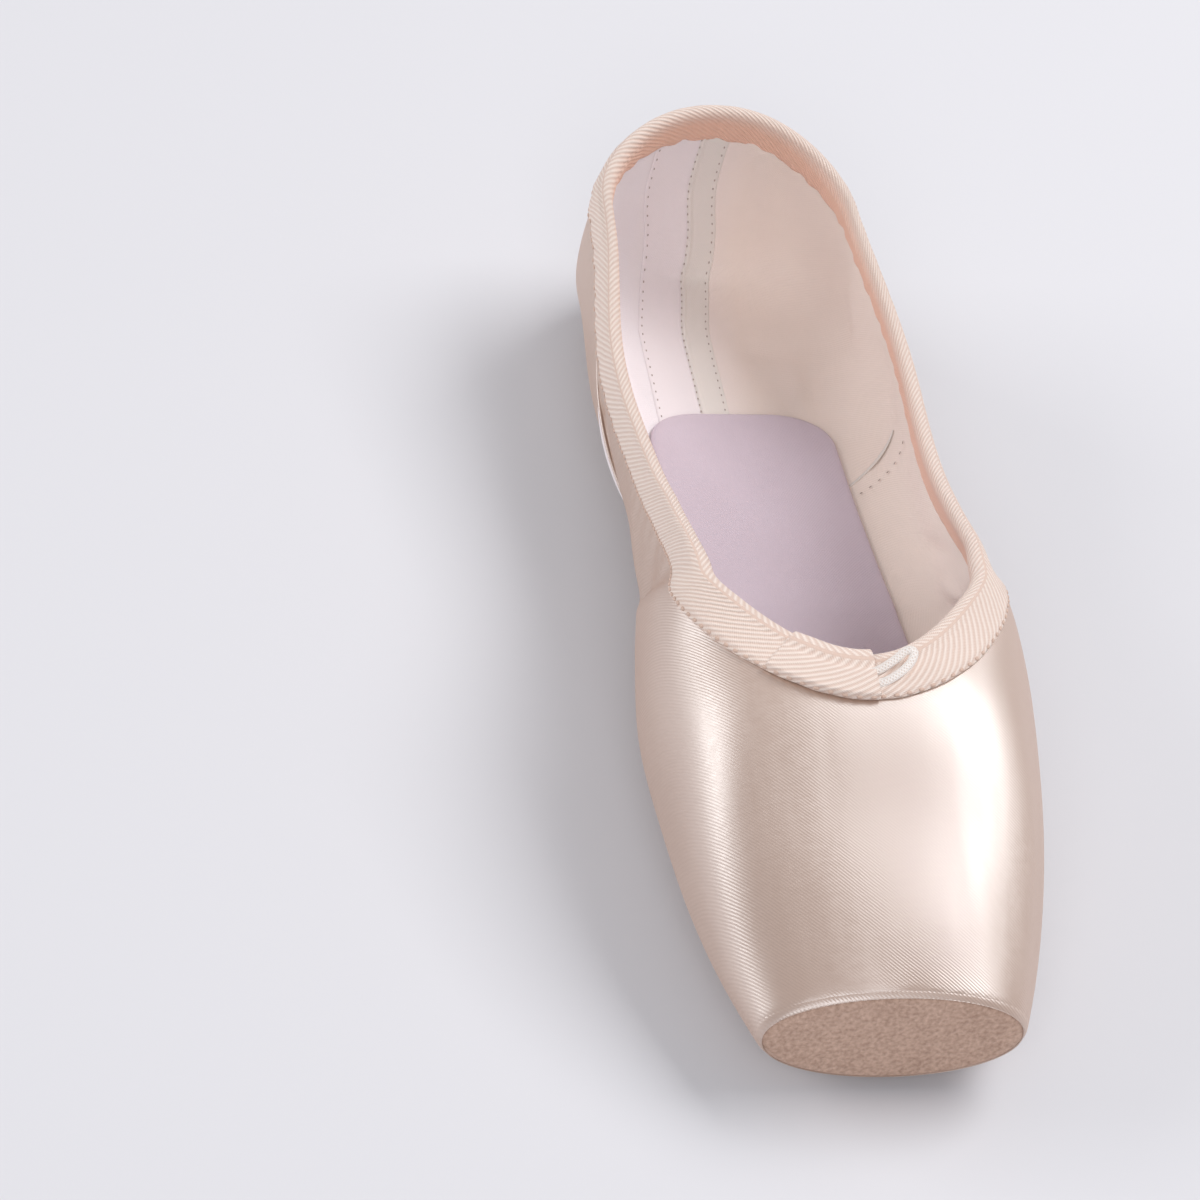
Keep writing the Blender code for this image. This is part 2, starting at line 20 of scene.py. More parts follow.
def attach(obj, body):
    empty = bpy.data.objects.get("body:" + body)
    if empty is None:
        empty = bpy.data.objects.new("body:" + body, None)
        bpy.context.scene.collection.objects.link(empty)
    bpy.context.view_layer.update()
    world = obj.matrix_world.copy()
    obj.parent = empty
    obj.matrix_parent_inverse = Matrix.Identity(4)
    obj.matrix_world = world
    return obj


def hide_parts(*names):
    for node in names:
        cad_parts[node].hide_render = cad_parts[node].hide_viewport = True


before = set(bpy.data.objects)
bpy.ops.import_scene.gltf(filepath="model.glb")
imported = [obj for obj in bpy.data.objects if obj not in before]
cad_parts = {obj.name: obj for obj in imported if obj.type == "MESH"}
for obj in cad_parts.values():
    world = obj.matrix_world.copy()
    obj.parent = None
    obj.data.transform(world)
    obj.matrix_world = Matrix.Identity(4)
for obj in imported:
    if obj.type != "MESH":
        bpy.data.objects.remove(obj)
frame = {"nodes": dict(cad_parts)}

LOG = logging.getLogger("pointe_shoe")
Array = np.ndarray
Face = Callable[[Array, Array], Array]
Colour = Tuple[float, float, float]
Place = Tuple[float, float, float]
Finish = bpy.types.Material
Piece = bpy.types.Object
Socket = bpy.types.NodeSocket


class Side(Enum):
    """The two cloth sides of the upper."""

    OUTER = "satin"
    INNER = "lining"


def natural_cubic(stations: Sequence[float], values: Sequence[float]) -> Callable[[Array], Array]:
    """The cubic through a table's points whose bend is nothing at both ends.

    Args:
        stations: where the values stand, rising.
        values: the value at each station.

    Returns:
        A function of a station, held at its end values outside the table.
    """
    x = np.asarray(stations, float)
    y = np.asarray(values, float)
    gap = np.diff(x)
    slope = np.diff(y) / gap
    system = np.eye(len(x))
    right = np.zeros(len(x))
    for i in range(1, len(x) - 1):
        system[i, i - 1:i + 2] = gap[i - 1], 2 * (gap[i - 1] + gap[i]), gap[i]
        right[i] = 6 * (slope[i] - slope[i - 1])
    bend = np.linalg.solve(system, right)

    def at(station: Array) -> Array:
        """The table's value at each station.

        Args:
            station: where to read it.

        Returns:
            The values.
        """
        s = np.clip(station, x[0], x[-1])
        i = np.clip(np.searchsorted(x, s) - 1, 0, len(x) - 2)
        d = s - x[i]
        first = slope[i] - gap[i] * (2 * bend[i] + bend[i + 1]) / 6
        return y[i] + d * (first + d * (bend[i] / 2 + d * (bend[i + 1] - bend[i]) / (6 * gap[i])))

    return at


def smooth(low: float, high: float, value: Array) -> Array:
    """0 below low, 1 above high, and three squares less two cubes of the share between."""
    share = np.clip((value - low) / (high - low), 0, 1)
    return share * share * (3 - 2 * share)


def bell(value: Array, middle: float, width: float) -> Array:
    """The bell curve of unit height round the middle."""
    return np.exp(-((value - middle) / width) ** 2)


def unit(vectors: Array) -> Array:
    """The vectors made one long, along the last axis."""
    return vectors / np.linalg.norm(vectors, axis=-1, keepdims=True)


def signed_power(value: Array, power: float) -> Array:
    """The value's size raised to a power, with its sign kept."""
    return np.sign(value) * np.abs(value) ** power


def lengths(line: Array) -> Array:
    """How far along a line of points each one lies from the first."""
    return np.r_[0, np.cumsum(np.linalg.norm(np.diff(line, axis=0), axis=1))]


def read_off(at: Array, run: Array, values: Array) -> Array:
    """Rows of three values at lengths along a run, by straight lines between its points."""
    return np.stack([np.interp(at, run, values[:, k]) for k in range(3)], 1)


def curve_off(at: Array, run: Array, values: Array) -> Array:
    """Rows of three values at lengths along a run, by the natural cubic."""
    return np.stack([natural_cubic(run, values[:, k])(at) for k in range(3)], 1)


@dataclass
class Last:
    """The shoe's form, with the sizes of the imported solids."""

    length: float = 0.232
    ball_width: float = 0.075
    instep_height: float = 0.050
    platform_width: float = 0.0502
    platform_height: float = 0.0222
    platform_lift: float = 0.0004
    platform_edge: float = 0.0024
    platform_roundness: float = 2.05
    arch_rise: float = 0.0028
    heel_height: float = 0.0512
    heel_rounding: float = 0.024
    heel_roundness: float = 2.2
    heel_bulge_level: float = 0.018
    heel_lean: float = 0.0038
    heel_tuck: float = 0.005
    heel_part: Tuple[float, float] = (0.72, 0.28)
    heel_swing: float = 0.006
    swing_start: float = 0.085
    wing_step: float = 0.0017
    wing_step_width: float = 0.0025
    wing_step_reach: float = 0.014
    wing_end: float = 0.110
    wing_level: float = 0.020
    wing_slope: float = 0.75
    wing_top: Tuple[float, float] = (4.4, 4.6)
    wing_inside: float = 0.6
    box_wall: float = 0.0030
    quarter_wall: float = 0.0015
    wall_taper: float = 0.018
    sole_thickness: float = 0.0026
    clearance: float = 0.0003
    heart_span: Tuple[float, float] = (0.04, 0.19)
    heart_level: float = 0.022
    side_scale: float = 0.03
    reach_limit: float = 50.0
    farthest: float = 0.15
    halvings: int = 26
    # shares: station of the length, half width of the ball's, bottom of the arch's rise, widest
    # level and crown of the instep's height; then the exponents above and below that level
    sections: Tuple[Tuple[float, ...], ...] = (
        (0.05, 0.770, 0.25, 0.30, 0.62, 2.20, 2.30),
        (0.15, 0.904, -0.08, 0.31, 0.79, 3.10, 2.50),
        (0.25, 0.974, -0.12, 0.32, 0.95, 3.10, 2.60),
        (0.34, 1.000, -0.08, 0.33, 1.00, 3.10, 2.60),
        (0.45, 0.914, 0.40, 0.36, 1.25, 2.20, 2.50),
        (0.60, 0.836, 0.93, 0.40, 1.28, 2.10, 2.40),
        (0.75, 0.867, 0.50, 0.41, 1.40, 1.82, 2.40),
        (0.88, 0.792, -0.08, 0.41, 1.52, 1.82, 2.50),
        (1.00, 0.792, -0.12, 0.41, 1.60, 1.82, 2.50),
    )

    def __post_init__(self) -> None:
        """Makes the smooth functions of t from the table of sections."""
        floor = self.sole_thickness + self.clearance
        bottom = floor + self.platform_lift
        rows = [(0.0, self.platform_width / 2, bottom, bottom + self.platform_height / 2,
                 bottom + self.platform_height, self.platform_roundness, self.platform_roundness)]
        for station, width, rise, level, crown, above, below in self.sections:
            rows.append((station * self.length, width * self.ball_width / 2,
                         floor + rise * self.arch_rise, level * self.instep_height,
                         crown * self.instep_height, above, below))
        table = np.array(rows)
        (self.half_width, self.bottom, self.level, self.crown, self.above,
         self.below) = [natural_cubic(table[:, 0], table[:, k]) for k in range(1, 7)]

    @property
    def platform_middle(self) -> float:
        """The level of the platform's centre."""
        return (self.sole_thickness + self.clearance + self.platform_lift
                + self.platform_height / 2)

    def heart(self, t: Array) -> Array:
        """The nearest places to t on the line in the shoe's middle that every wall faces."""
        return np.stack([0 * t, np.clip(t, *self.heart_span), 0 * t + self.heart_level], -1)

    def wing_line(self, z: Array) -> Array:
        """How far along the last the wing ends at a level."""
        return self.wing_end - self.wing_slope * (z - self.wing_level)

    def outside(self, t: Array, z: Array) -> Array:
        """The outer face's inset: the wing stands out ahead of its end and falls in behind it, as
        the hyperbolic tangent of the distance, and fades both ways.

        Args:
            t: places along the last.
            z: their levels.

        Returns:
            The inset, negative where the face stands out.
        """
        ahead = self.wing_line(z) - t
        side = (np.clip((z - self.box_wall) / self.wing_level, 0, 1)
                * np.clip(self.wing_top[0] - self.wing_top[1] * z / self.instep_height, 0, 1))
        fade = np.exp(-np.abs(ahead) / self.wing_step_reach)
        return -self.wing_step * side * np.tanh(ahead / self.wing_step_width) * fade

    def inside(self, t: Array, z: Array) -> Array:
        """The inner face's inset: a thick box and thin quarters.

        Args:
            t: places along the last.
            z: their levels.

        Returns:
            The inset in metres.
        """
        share = np.clip((self.wing_line(z) - t) / self.wall_taper + 0.5, 0, 1)
        return (self.quarter_wall + (self.box_wall - self.quarter_wall) * share
                + self.outside(t, z) * self.wing_inside)

    def value(self, x: Array, t: Array, z: Array, inset: Array) -> Array:
        """Below zero inside the last shrunk by the inset, above zero outside: the superellipse's
        reach less one, joined softly with the platform's plane and cut at the heel.

        Args:
            x: places across the last.
            t: places along it.
            z: their levels.
            inset: how far the last is shrunk there.

        Returns:
            The values, near the face about the distance from it in metres.
        """
        up = np.clip((z - self.heel_bulge_level) / (self.heel_height - self.heel_bulge_level), 0, 2)
        down = np.clip((self.heel_bulge_level - z) / self.heel_bulge_level, 0, 2)
        heelward = np.clip((t / self.length - self.heel_part[0]) / self.heel_part[1], 0, 1)
        back = t + (self.heel_lean * up ** 2 + self.heel_tuck * down ** 2.5) * heelward ** 1.5
        width = np.maximum(self.half_width(back) - inset, self.platform_edge)
        turn = np.clip((back + inset - (self.length - self.heel_rounding))
                       / self.heel_rounding, 0, 1)
        width = width * np.maximum(1 - turn ** self.heel_roundness,
                                   1e-6) ** (1 / self.heel_roundness)
        level = self.level(back)
        upper = z >= level
        power = np.where(upper, self.above(back), self.below(back))
        height = np.where(upper, self.crown(back) - level, level - self.bottom(back)) - inset
        reach = (np.minimum(np.abs(x / width), self.reach_limit) ** power
                 + np.abs((z - level) / height) ** power) ** (1 / power)
        side = (reach - 1) * np.minimum(width, self.side_scale)
        front = inset - t
        blend = np.clip(0.5 + 0.5 * (side - front) / self.platform_edge, 0, 1)
        joined = (side * blend + front * (1 - blend)
                  + self.platform_edge * blend * (1 - blend))
        return np.where(back + inset > self.length,
                        np.maximum(joined, back + inset - self.length), joined)

    def cast(self, start: Array, way: Array, face: Face) -> Array:
        """Where rays from inside the last leave a face, found by halving.

        Args:
            start: the rays' starts, (..., 3).
            way: their directions.
            face: the inset as a function of t and z.

        Returns:
            The points on the face, (..., 3).
        """
        near = np.zeros(np.broadcast(start[..., 0], way[..., 0]).shape)
        far = near + self.farthest
        for _ in range(self.halvings):
            middle = (near + far) / 2
            x, t, z = (start[..., k] + way[..., k] * middle for k in range(3))
            within = self.value(x, t, z, face(t, z)) < 0
            near = np.where(within, middle, near)
            far = np.where(within, far, middle)
        return start + way * ((near + far) / 2)[..., None]

    def to_world(self, points: Array) -> Array:
        """From x, t, z to the shoe's frame; the heel has settled to one side by a power of t.

        Args:
            points: places (..., 3).

        Returns:
            The same places in the shoe's frame.
        """
        back = np.maximum(points[..., 1] - self.swing_start, 0) / (self.length - self.swing_start)
        aside = -self.heel_swing * back ** 1.5
        return points + np.stack([aside, 0 * back - self.length / 2, 0 * back], -1)


LAST = Last()


def lowered(face: Face, by: Array) -> Face:
    """The face pushed inwards by a distance, or outwards where that is negative."""
    return lambda t, z: face(t, z) + by


@dataclass
class Ribs:
    """Upright ribs that fan out round the toe and the heel; shares of the outline run from 0 at
    the heel to 1 at the toe on the +X side, and are negative on the other side."""

    shares: Array
    toe_centre: float = 0.086
    heel_centre: float = 0.160
    centre_level: float = 0.022
    throat_bow: float = 0.0263
    heel_bow: float = 0.0082
    bow_change: Tuple[float, float] = (0.120, 0.160)
    reach: Tuple[float, float] = (-math.pi / 2 - 0.5, 0.8 * math.pi)
    steps: int = 260
    turn_steps: int = 160
    straight_steps: int = 200
    bow_reach: float = 0.4
    # station, share of the instep's height, share of the heel's height
    collar_table: Tuple[Tuple[float, float, float], ...] = (
        (0.230, 1.317, 0.0), (0.265, 0.985, 0.0), (0.299, 0.934, 0.0), (0.371, 0.838, 0.0),
        (0.453, 0.729, 0.0), (0.560, 0.670, 0.0), (0.690, 0.682, 0.0), (0.819, 0.0, 0.778),
        (0.927, 0.0, 0.858), (1.034, 0.0, 1.120),
    )

    def __post_init__(self) -> None:
        """Places each rib, measures along it, and finds where it meets the collar's line."""
        turn = np.abs(self.shares)
        share, foot, across, along = self.middle_line()
        foot, across, along = (np.interp(turn, share, v) for v in (foot, across, along))
        size = np.hypot(across, along)
        self.foot = np.stack([0 * foot, foot, np.full(len(foot), self.centre_level)], 1)
        self.across = np.where(self.shares < 0, -1, 1) * across / size
        self.along = along / size
        self.fine = np.linspace(*self.reach, self.steps)
        self.angles = np.broadcast_to(self.fine, (len(foot), self.steps))
        self.skin = skin = self.points(self.angles, LAST.outside)
        step = np.linalg.norm(np.diff(skin, axis=1), axis=2)
        self.run = np.concatenate([np.zeros((len(foot), 1)), np.cumsum(step, axis=1)], axis=1)
        table = np.array(self.collar_table)
        height = natural_cubic(table[:, 0] * LAST.length, table[:, 1] * LAST.instep_height
                               + table[:, 2] * LAST.heel_height)
        bow = np.interp(skin[..., 1], self.bow_change, (self.throat_bow, self.heel_bow))
        bowed = skin[..., 1] - bow * (skin[..., 0] / (LAST.ball_width * self.bow_reach)) ** 2
        self.collar = self.crossing(skin[..., 2] - height(bowed), self.steps // 5)
        self.top = self.lookup(self.collar[:, None], self.angles, self.run)

    def middle_line(self) -> Tuple[Array, Array, Array, Array]:
        """Half the way round the outline: a quarter turn at the heel, straight on, and a quarter
        turn at the toe.

        Returns:
            The shares of the outline, the ribs' feet, and their ways across and along.
        """
        quarter = np.linspace(0, math.pi / 2, self.turn_steps)
        straight = np.linspace(self.heel_centre, self.toe_centre, self.straight_steps)[1:-1]
        foot = np.concatenate([np.full(self.turn_steps, self.heel_centre), straight,
                               np.full(self.turn_steps, self.toe_centre)])
        across = np.concatenate([np.sin(quarter), np.ones(len(straight)), np.cos(quarter)])
        along = np.concatenate([np.cos(quarter), np.zeros(len(straight)), -np.sin(quarter)])
        start = np.stack([np.zeros(len(foot)), foot, np.full(len(foot), self.centre_level)], 1)
        rim = LAST.cast(start, np.stack([across, along, 0 * foot], 1), lambda t, z: 0.0)
        run = lengths(rim)
        return run / run[-1], foot, across, along

    def crossing(self, values: Array, first: int) -> Array:
        """The angle on each rib where the values first rise through zero.

        Args:
            values: a value at each fine angle (ribs, angles).
            first: the angle's number from which to look.

        Returns:
            One angle for each rib.
        """
        later = np.arange(values.shape[1])[None] >= first
        index = np.argmax((values > 0) & later, axis=1)
        row = np.arange(len(values))
        low, high = values[row, index - 1], values[row, index]
        step = self.fine[1] - self.fine[0]
        return self.fine[index - 1] + np.clip(low / (low - high), 0, 1) * step

    def points(self, angles: Array, face: Face) -> Array:
        """Points of a face at ray angles on the ribs.

        Args:
            angles: the angles (ribs, rows).
            face: the face's inset.

        Returns:
            The points (ribs, rows, 3) in x, t, z.
        """
        flat = np.cos(angles)
        way = np.stack([self.across[:, None] * flat, self.along[:, None] * flat,
                        np.sin(angles)], 2)
        return LAST.cast(self.foot[:, None, :] + 0 * way, way, face)

    def lookup(self, at: Array, given: Array, wanted: Array) -> Array:
        """Row by row straight interpolation."""
        return np.array([np.interp(a, g, w) for a, g, w in zip(at, given, wanted)])

    def down(self, distances: Array) -> Array:
        """Angles at distances down each rib from the collar's edge.

        Args:
            distances: the distances (ribs, rows).

        Returns:
            The angles (ribs, rows).
        """
        return self.lookup(self.top - distances, self.run, self.angles)

    def length_to_sole(self, under: float) -> Array:
        """Each rib's length from the collar to where it has come in under the shoe as far as a
        share of its reach.

        Args:
            under: the share.

        Returns:
            One length for each rib.
        """
        reach = (self.skin[..., 0] * self.across[:, None]
                 + (self.skin[..., 1] - self.foot[:, 1:2]) * self.along[:, None])
        start = self.crossing(reach - under * reach.max(1, keepdims=True), 1)
        return (self.top - self.lookup(start[:, None], self.angles, self.run))[:, 0]


def normals(points: Array, closed: bool = False) -> Array:
    """Unit normals of a grid of points, from the cross product of its two slopes.

    Args:
        points: the grid (rows, columns, 3).
        closed: True where the last column joins the first.

    Returns:
        The normals, in the grid's shape.
    """
    if closed:
        ring = np.concatenate([points[:, -1:], points, points[:, :1]], axis=1)
        along = (ring[:, 2:] - ring[:, :-2]) / 2
    else:
        along = np.gradient(points, axis=1)
    across = np.gradient(points, axis=0)
    cross = np.cross(along, across)
    return cross / np.maximum(np.linalg.norm(cross, axis=2, keepdims=True), 1e-12)


def surface(name: str, points: Array, uv: Array, finish: Finish, facing: Array,
            closed: bool = False) -> Piece:
    """A mesh of quads over a grid of points.

    Args:
        name: the object's name.
        points: the grid (rows, columns, 3) in the shoe's frame.
        uv: the map in metres, one column more than the grid's where it is closed.
        finish: the material.
        facing: directions (rows, columns, 3) to which the faces should turn.
        closed: True where the last column joins the first.

    Returns:
        The new object, linked and shaded smooth.
    """
    rows, columns = points.shape[:2]
    index = np.arange(rows * columns).reshape(rows, columns)
    spans = columns if closed else columns - 1
    right = (np.arange(spans) + 1) % columns
    quads = np.stack([index[:-1, :spans], index[:-1, right], index[1:, right],
                      index[1:, :spans]], -1).reshape(-1, 4)
    coords = np.stack([uv[:-1, :spans], uv[:-1, 1:spans + 1], uv[1:, 1:spans + 1],
                       uv[1:, :spans]], 2).reshape(-1, 4, 2)
    flat = points.reshape(-1, 3)
    cross = np.cross(flat[quads[:, 2]] - flat[quads[:, 0]], flat[quads[:, 3]] - flat[quads[:, 1]])
    if (cross * facing.reshape(-1, 3)[quads[:, 0]]).sum() < 0:
        quads, coords = quads[:, ::-1], coords[:, ::-1]
    return mesh_object(name, flat, quads, coords, finish)


def mesh_object(name: str, points: Array, quads: Array, coords: Array,
                finish: Finish) -> Piece:
    """An object from vertices, quads and one map coordinate for each corner.

    Args:
        name: the object's name.
        points: the vertices (n, 3).
        quads: the vertices' numbers (m, 4).
        coords: the map (m, 4, 2).
        finish: the material.

    Returns:
        The new object, linked and shaded smooth.
    """
    mesh = bpy.data.meshes.new(name)
    mesh.vertices.add(len(points))
    mesh.vertices.foreach_set("co", points.astype(np.float32).ravel())
    mesh.loops.add(quads.size)
    mesh.loops.foreach_set("vertex_index", quads.astype(np.int32).ravel())
    mesh.polygons.add(len(quads))
    mesh.polygons.foreach_set("loop_start", np.arange(0, quads.size, 4, dtype=np.int32))
    layer = mesh.uv_layers.new(name="UVMap")
    layer.uv.foreach_set("vector", coords.astype(np.float32).ravel())
    mesh.update(calc_edges=True)
    mesh.validate()
    mesh.shade_smooth()
    piece = bpy.data.objects.new(name, mesh)
    bpy.context.scene.collection.objects.link(piece)
    mesh.materials.append(finish)
    return piece


def fitted(piece: Piece, slot: str, node: Optional[str] = None) -> Piece:
    """Fits a piece to the one body, and hides the solid it replaces.

    Args:
        piece: the piece.
        slot: not used.
        node: the solid, where the piece stands for one.

    Returns:
        The piece.
    """
    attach(piece, "root")
    if node:
        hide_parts(node)
    return piece


def bar(name: str, path: Array, side: Array, up: Array, section: Array, girth: float,
        along: Array, finish: Finish) -> Piece:
    """A section carried along a path, drawn in to a point at both ends.

    Args:
        name: the object's name.
        path: points (n, 3).
        side: unit directions across the path.
        up: unit directions off the surface.
        section: the closed outline, (n or 1, m, 2) of across and up in metres.
        girth: the map's width round the section.
        along: the map's length at each row, both points with them (n + 2).
        finish: the material.

    Returns:
        The object.
    """
    rows = path[:, None] + side[:, None] * section[..., :1] + up[:, None] * section[..., 1:]
    grid = np.concatenate([path[:1, None] + 0 * rows[:1], rows, path[-1:, None] + 0 * rows[-1:]])
    middle = np.concatenate([path[:1], path, path[-1:]])[:, None]
    around = np.linspace(0, girth, grid.shape[1] + 1)[None]
    uv = np.stack(np.broadcast_arrays(around, along[:, None]), -1)
    return surface(name, grid, uv, finish, grid - middle, True)


class Graph:
    """Short ways to add nodes to a material."""

    def __init__(self, name: str) -> None:
        """Starts a material with its shader.

        Args:
            name: the material's name.
        """
        self.material = bpy.data.materials.new(name)
        self.material.use_nodes = True
        self.tree = self.material.node_tree
        self.shader = self.tree.nodes["Principled BSDF"]
        self.coord = self.node("TexCoord", {}).outputs

    def put(self, socket: Socket, value: object) -> None:
        """Sets a socket to a value, or joins it to another socket.

        Args:
            socket: the socket.
            value: the value, or the socket it comes from.
        """
        if isinstance(value, Socket):
            self.tree.links.new(value, socket)
        else:
            socket.default_value = value

    def node(self, kind: str, inputs: Dict[object, object], **settings: str) -> bpy.types.Node:
        """A new node with its settings, its sockets set or joined.

        Args:
            kind: the node's type, without its first words.
            inputs: a value or a socket for each input's name or number.
            settings: the node's own settings.

        Returns:
            The node.
        """
        node = self.tree.nodes.new("ShaderNode" + kind)
        for name, value in settings.items():
            setattr(node, name, value)
        for socket, value in inputs.items():
            self.put(node.inputs[socket], value)
        return node

    def dress(self, sockets: Dict[str, object]) -> Finish:
        """Sets or joins the shader's own sockets.

        Args:
            sockets: a value or a socket for each input's name.

        Returns:
            The material.
        """
        for socket, value in sockets.items():
            self.put(self.shader.inputs[socket], value)
        return self.material

    def maths(self, operation: str, *values: object) -> Socket:
        """One arithmetic step."""
        return self.node("Math", dict(enumerate(values)), operation=operation).outputs[0]

    def scaled(self, value: Socket, by: object, plus: object = 0.0) -> Socket:
        """A value times one thing, plus another."""
        return self.maths("MULTIPLY_ADD", value, by, plus)

    def axis(self, vector: Socket) -> List[Socket]:
        """A vector's three parts."""
        return list(self.node("SeparateXYZ", {0: vector}).outputs)

    def noise(self, vector: Socket, scale: float, detail: float = 3.0,
              stretch: Place = (1.0, 1.0, 1.0)) -> Socket:
        """Noise of a scale per metre.

        Args:
            vector: the place.
            scale: the scale.
            detail: its octaves.
            stretch: the place's factors, small where the noise is drawn out.

        Returns:
            A value from 0 to 1.
        """
        place = self.node("Mapping", {"Vector": vector, "Scale": stretch}).outputs[0]
        sockets = {"Vector": place, "Scale": scale, "Detail": detail}
        return self.node("TexNoise", sockets).outputs["Fac"]

    def waves(self, value: Socket, pitch: float) -> Socket:
        """Rounded ridges from 0 to 1 with a pitch in metres, from the sine of the value."""
        turned = self.maths("MULTIPLY", value, 2 * math.pi / pitch)
        return self.scaled(self.maths("SINE", turned), 0.5, 0.5)

    def between(self, share: Socket, low: object, high: object) -> Socket:
        """A colour between two.

        Args:
            share: 0 for the first and 1 for the second.
            low: the first colour, or a socket.
            high: the second.

        Returns:
            The colour's socket.
        """
        ends = [(*end, 1.0) if isinstance(end, tuple) else end for end in (low, high)]
        sockets = {"Factor": share, "A": ends[0], "B": ends[1]}
        return self.node("Mix", sockets, data_type="RGBA").outputs["Result"]

    def bump(self, height: Socket, distance: float, strength: float) -> Socket:
        """A bump of a height in metres for a share of 1."""
        sockets = {"Strength": strength, "Distance": distance, "Height": height}
        return self.node("Bump", sockets).outputs[0]


@dataclass(frozen=True)
class Satin:
    """Peach satin: fine diagonal twill under a strong soft gloss that runs along the shoe."""

    pale: Colour = (0.50, 0.345, 0.265)
    deep: Colour = (0.41, 0.255, 0.18)
    glow: Colour = (1.0, 0.62, 0.45)
    slant: Place = (0.66, 0.66, 0.34)
    pitch: float = 0.00052
    relief: float = 0.000035
    roughness: float = 0.20
    gloss: float = 2.2
    brushed: float = 0.7

    def make(self) -> Finish:
        """The material; the twill lines are planes slanting through the shoe's frame.

        Returns:
            The material.
        """
        graph = Graph("satin")
        place = graph.coord["Object"]
        x, y, z = graph.axis(place)
        slant = graph.scaled(y, self.slant[1], graph.scaled(x, self.slant[0]))
        slant = graph.scaled(z, self.slant[2], slant)
        wander = graph.scaled(graph.noise(place, 60.0), 0.0009)
        lines = graph.waves(graph.maths("ADD", slant, wander), self.pitch)
        slubs = graph.noise(place, 900.0, 2.0, (0.35, 1.0, 1.0))
        cloud = graph.noise(place, 22.0, 2.0)
        streaks = graph.noise(place, 260.0, 3.0, (1.0, 0.07, 0.4))
        tone = graph.scaled(lines, 0.22, graph.scaled(cloud, 0.45))
        rough = graph.scaled(streaks, 0.18, graph.scaled(slubs, 0.12, self.roughness))
        weave = graph.scaled(slubs, 0.5, lines)
        along = graph.node("Tangent", {}, direction_type="RADIAL", axis="Y").outputs[0]
        return graph.dress({
            "Base Color": graph.between(tone, self.pale, self.deep), "Roughness": rough,
            "Normal": graph.bump(weave, self.relief, 0.6), "IOR": self.gloss,
            "Specular IOR Level": 1.0, "Sheen Weight": 0.2, "Sheen Roughness": 0.35,
            "Sheen Tint": (*self.glow, 1.0), "Anisotropic": self.brushed, "Tangent": along,
        })


@dataclass(frozen=True)
class Tape:
    """Cotton herringbone tape: diagonals that turn at a spine, painted orange shade inside the
    shoe.
    """

    pale: Colour = (0.92, 0.79, 0.71)
    deep: Colour = (0.66, 0.46, 0.37)
    # painted shade and bounced light: the orange of the tape's inner half inside the shoe, and its
    # greatest share
    painted_inner_shade: Colour = (0.90, 0.50, 0.34)
    painted_inner_shade_share: float = 0.72
    pitch: float = 0.00145
    spine: float = -0.0020
    spine_half: float = 0.00022
    steepness: float = 1.33
    relief: float = 0.00022

    def make(self) -> Finish:
        """The material; the diagonals are the length plus the distance from the spine.

        Returns:
            The material.
        """
        graph = Graph("tape")
        place = graph.coord["UV"]
        u, v, _ = graph.axis(place)
        away = graph.maths("ABSOLUTE", graph.maths("SUBTRACT", v, self.spine))
        wander = graph.scaled(graph.noise(place, 250.0), 0.0004)
        slant = graph.scaled(away, self.steepness, u)
        ribs = graph.waves(graph.maths("ADD", slant, wander), self.pitch)
        cross = graph.waves(graph.maths("SUBTRACT", u, away), self.pitch * 0.3)
        ribs = graph.scaled(cross, 0.28, ribs)
        spine = graph.maths("LESS_THAN", away, self.spine_half)
        lift = graph.maths("MAXIMUM", graph.maths("SUBTRACT", ribs, spine), 0.0)
        fibres = graph.noise(place, 4200.0, 2.0)
        low = graph.maths("SUBTRACT", 1.0, lift)
        share = graph.scaled(fibres, 0.25, graph.scaled(low, 0.6))
        # painted shade and bounced light: the inner half, inside the shoe, goes over to the orange
        # tint
        inner = graph.scaled(graph.maths("MAXIMUM", v, 0.0), 160.0)
        inner = graph.maths("MINIMUM", inner, self.painted_inner_shade_share)
        height = graph.scaled(fibres, 0.3, lift)
        return graph.dress({
            "Base Color": graph.between(inner, graph.between(share, self.pale, self.deep),
                                        self.painted_inner_shade),
            "Normal": graph.bump(height, self.relief, 0.8), "Roughness": 0.78,
            "Sheen Weight": 0.2,
        })


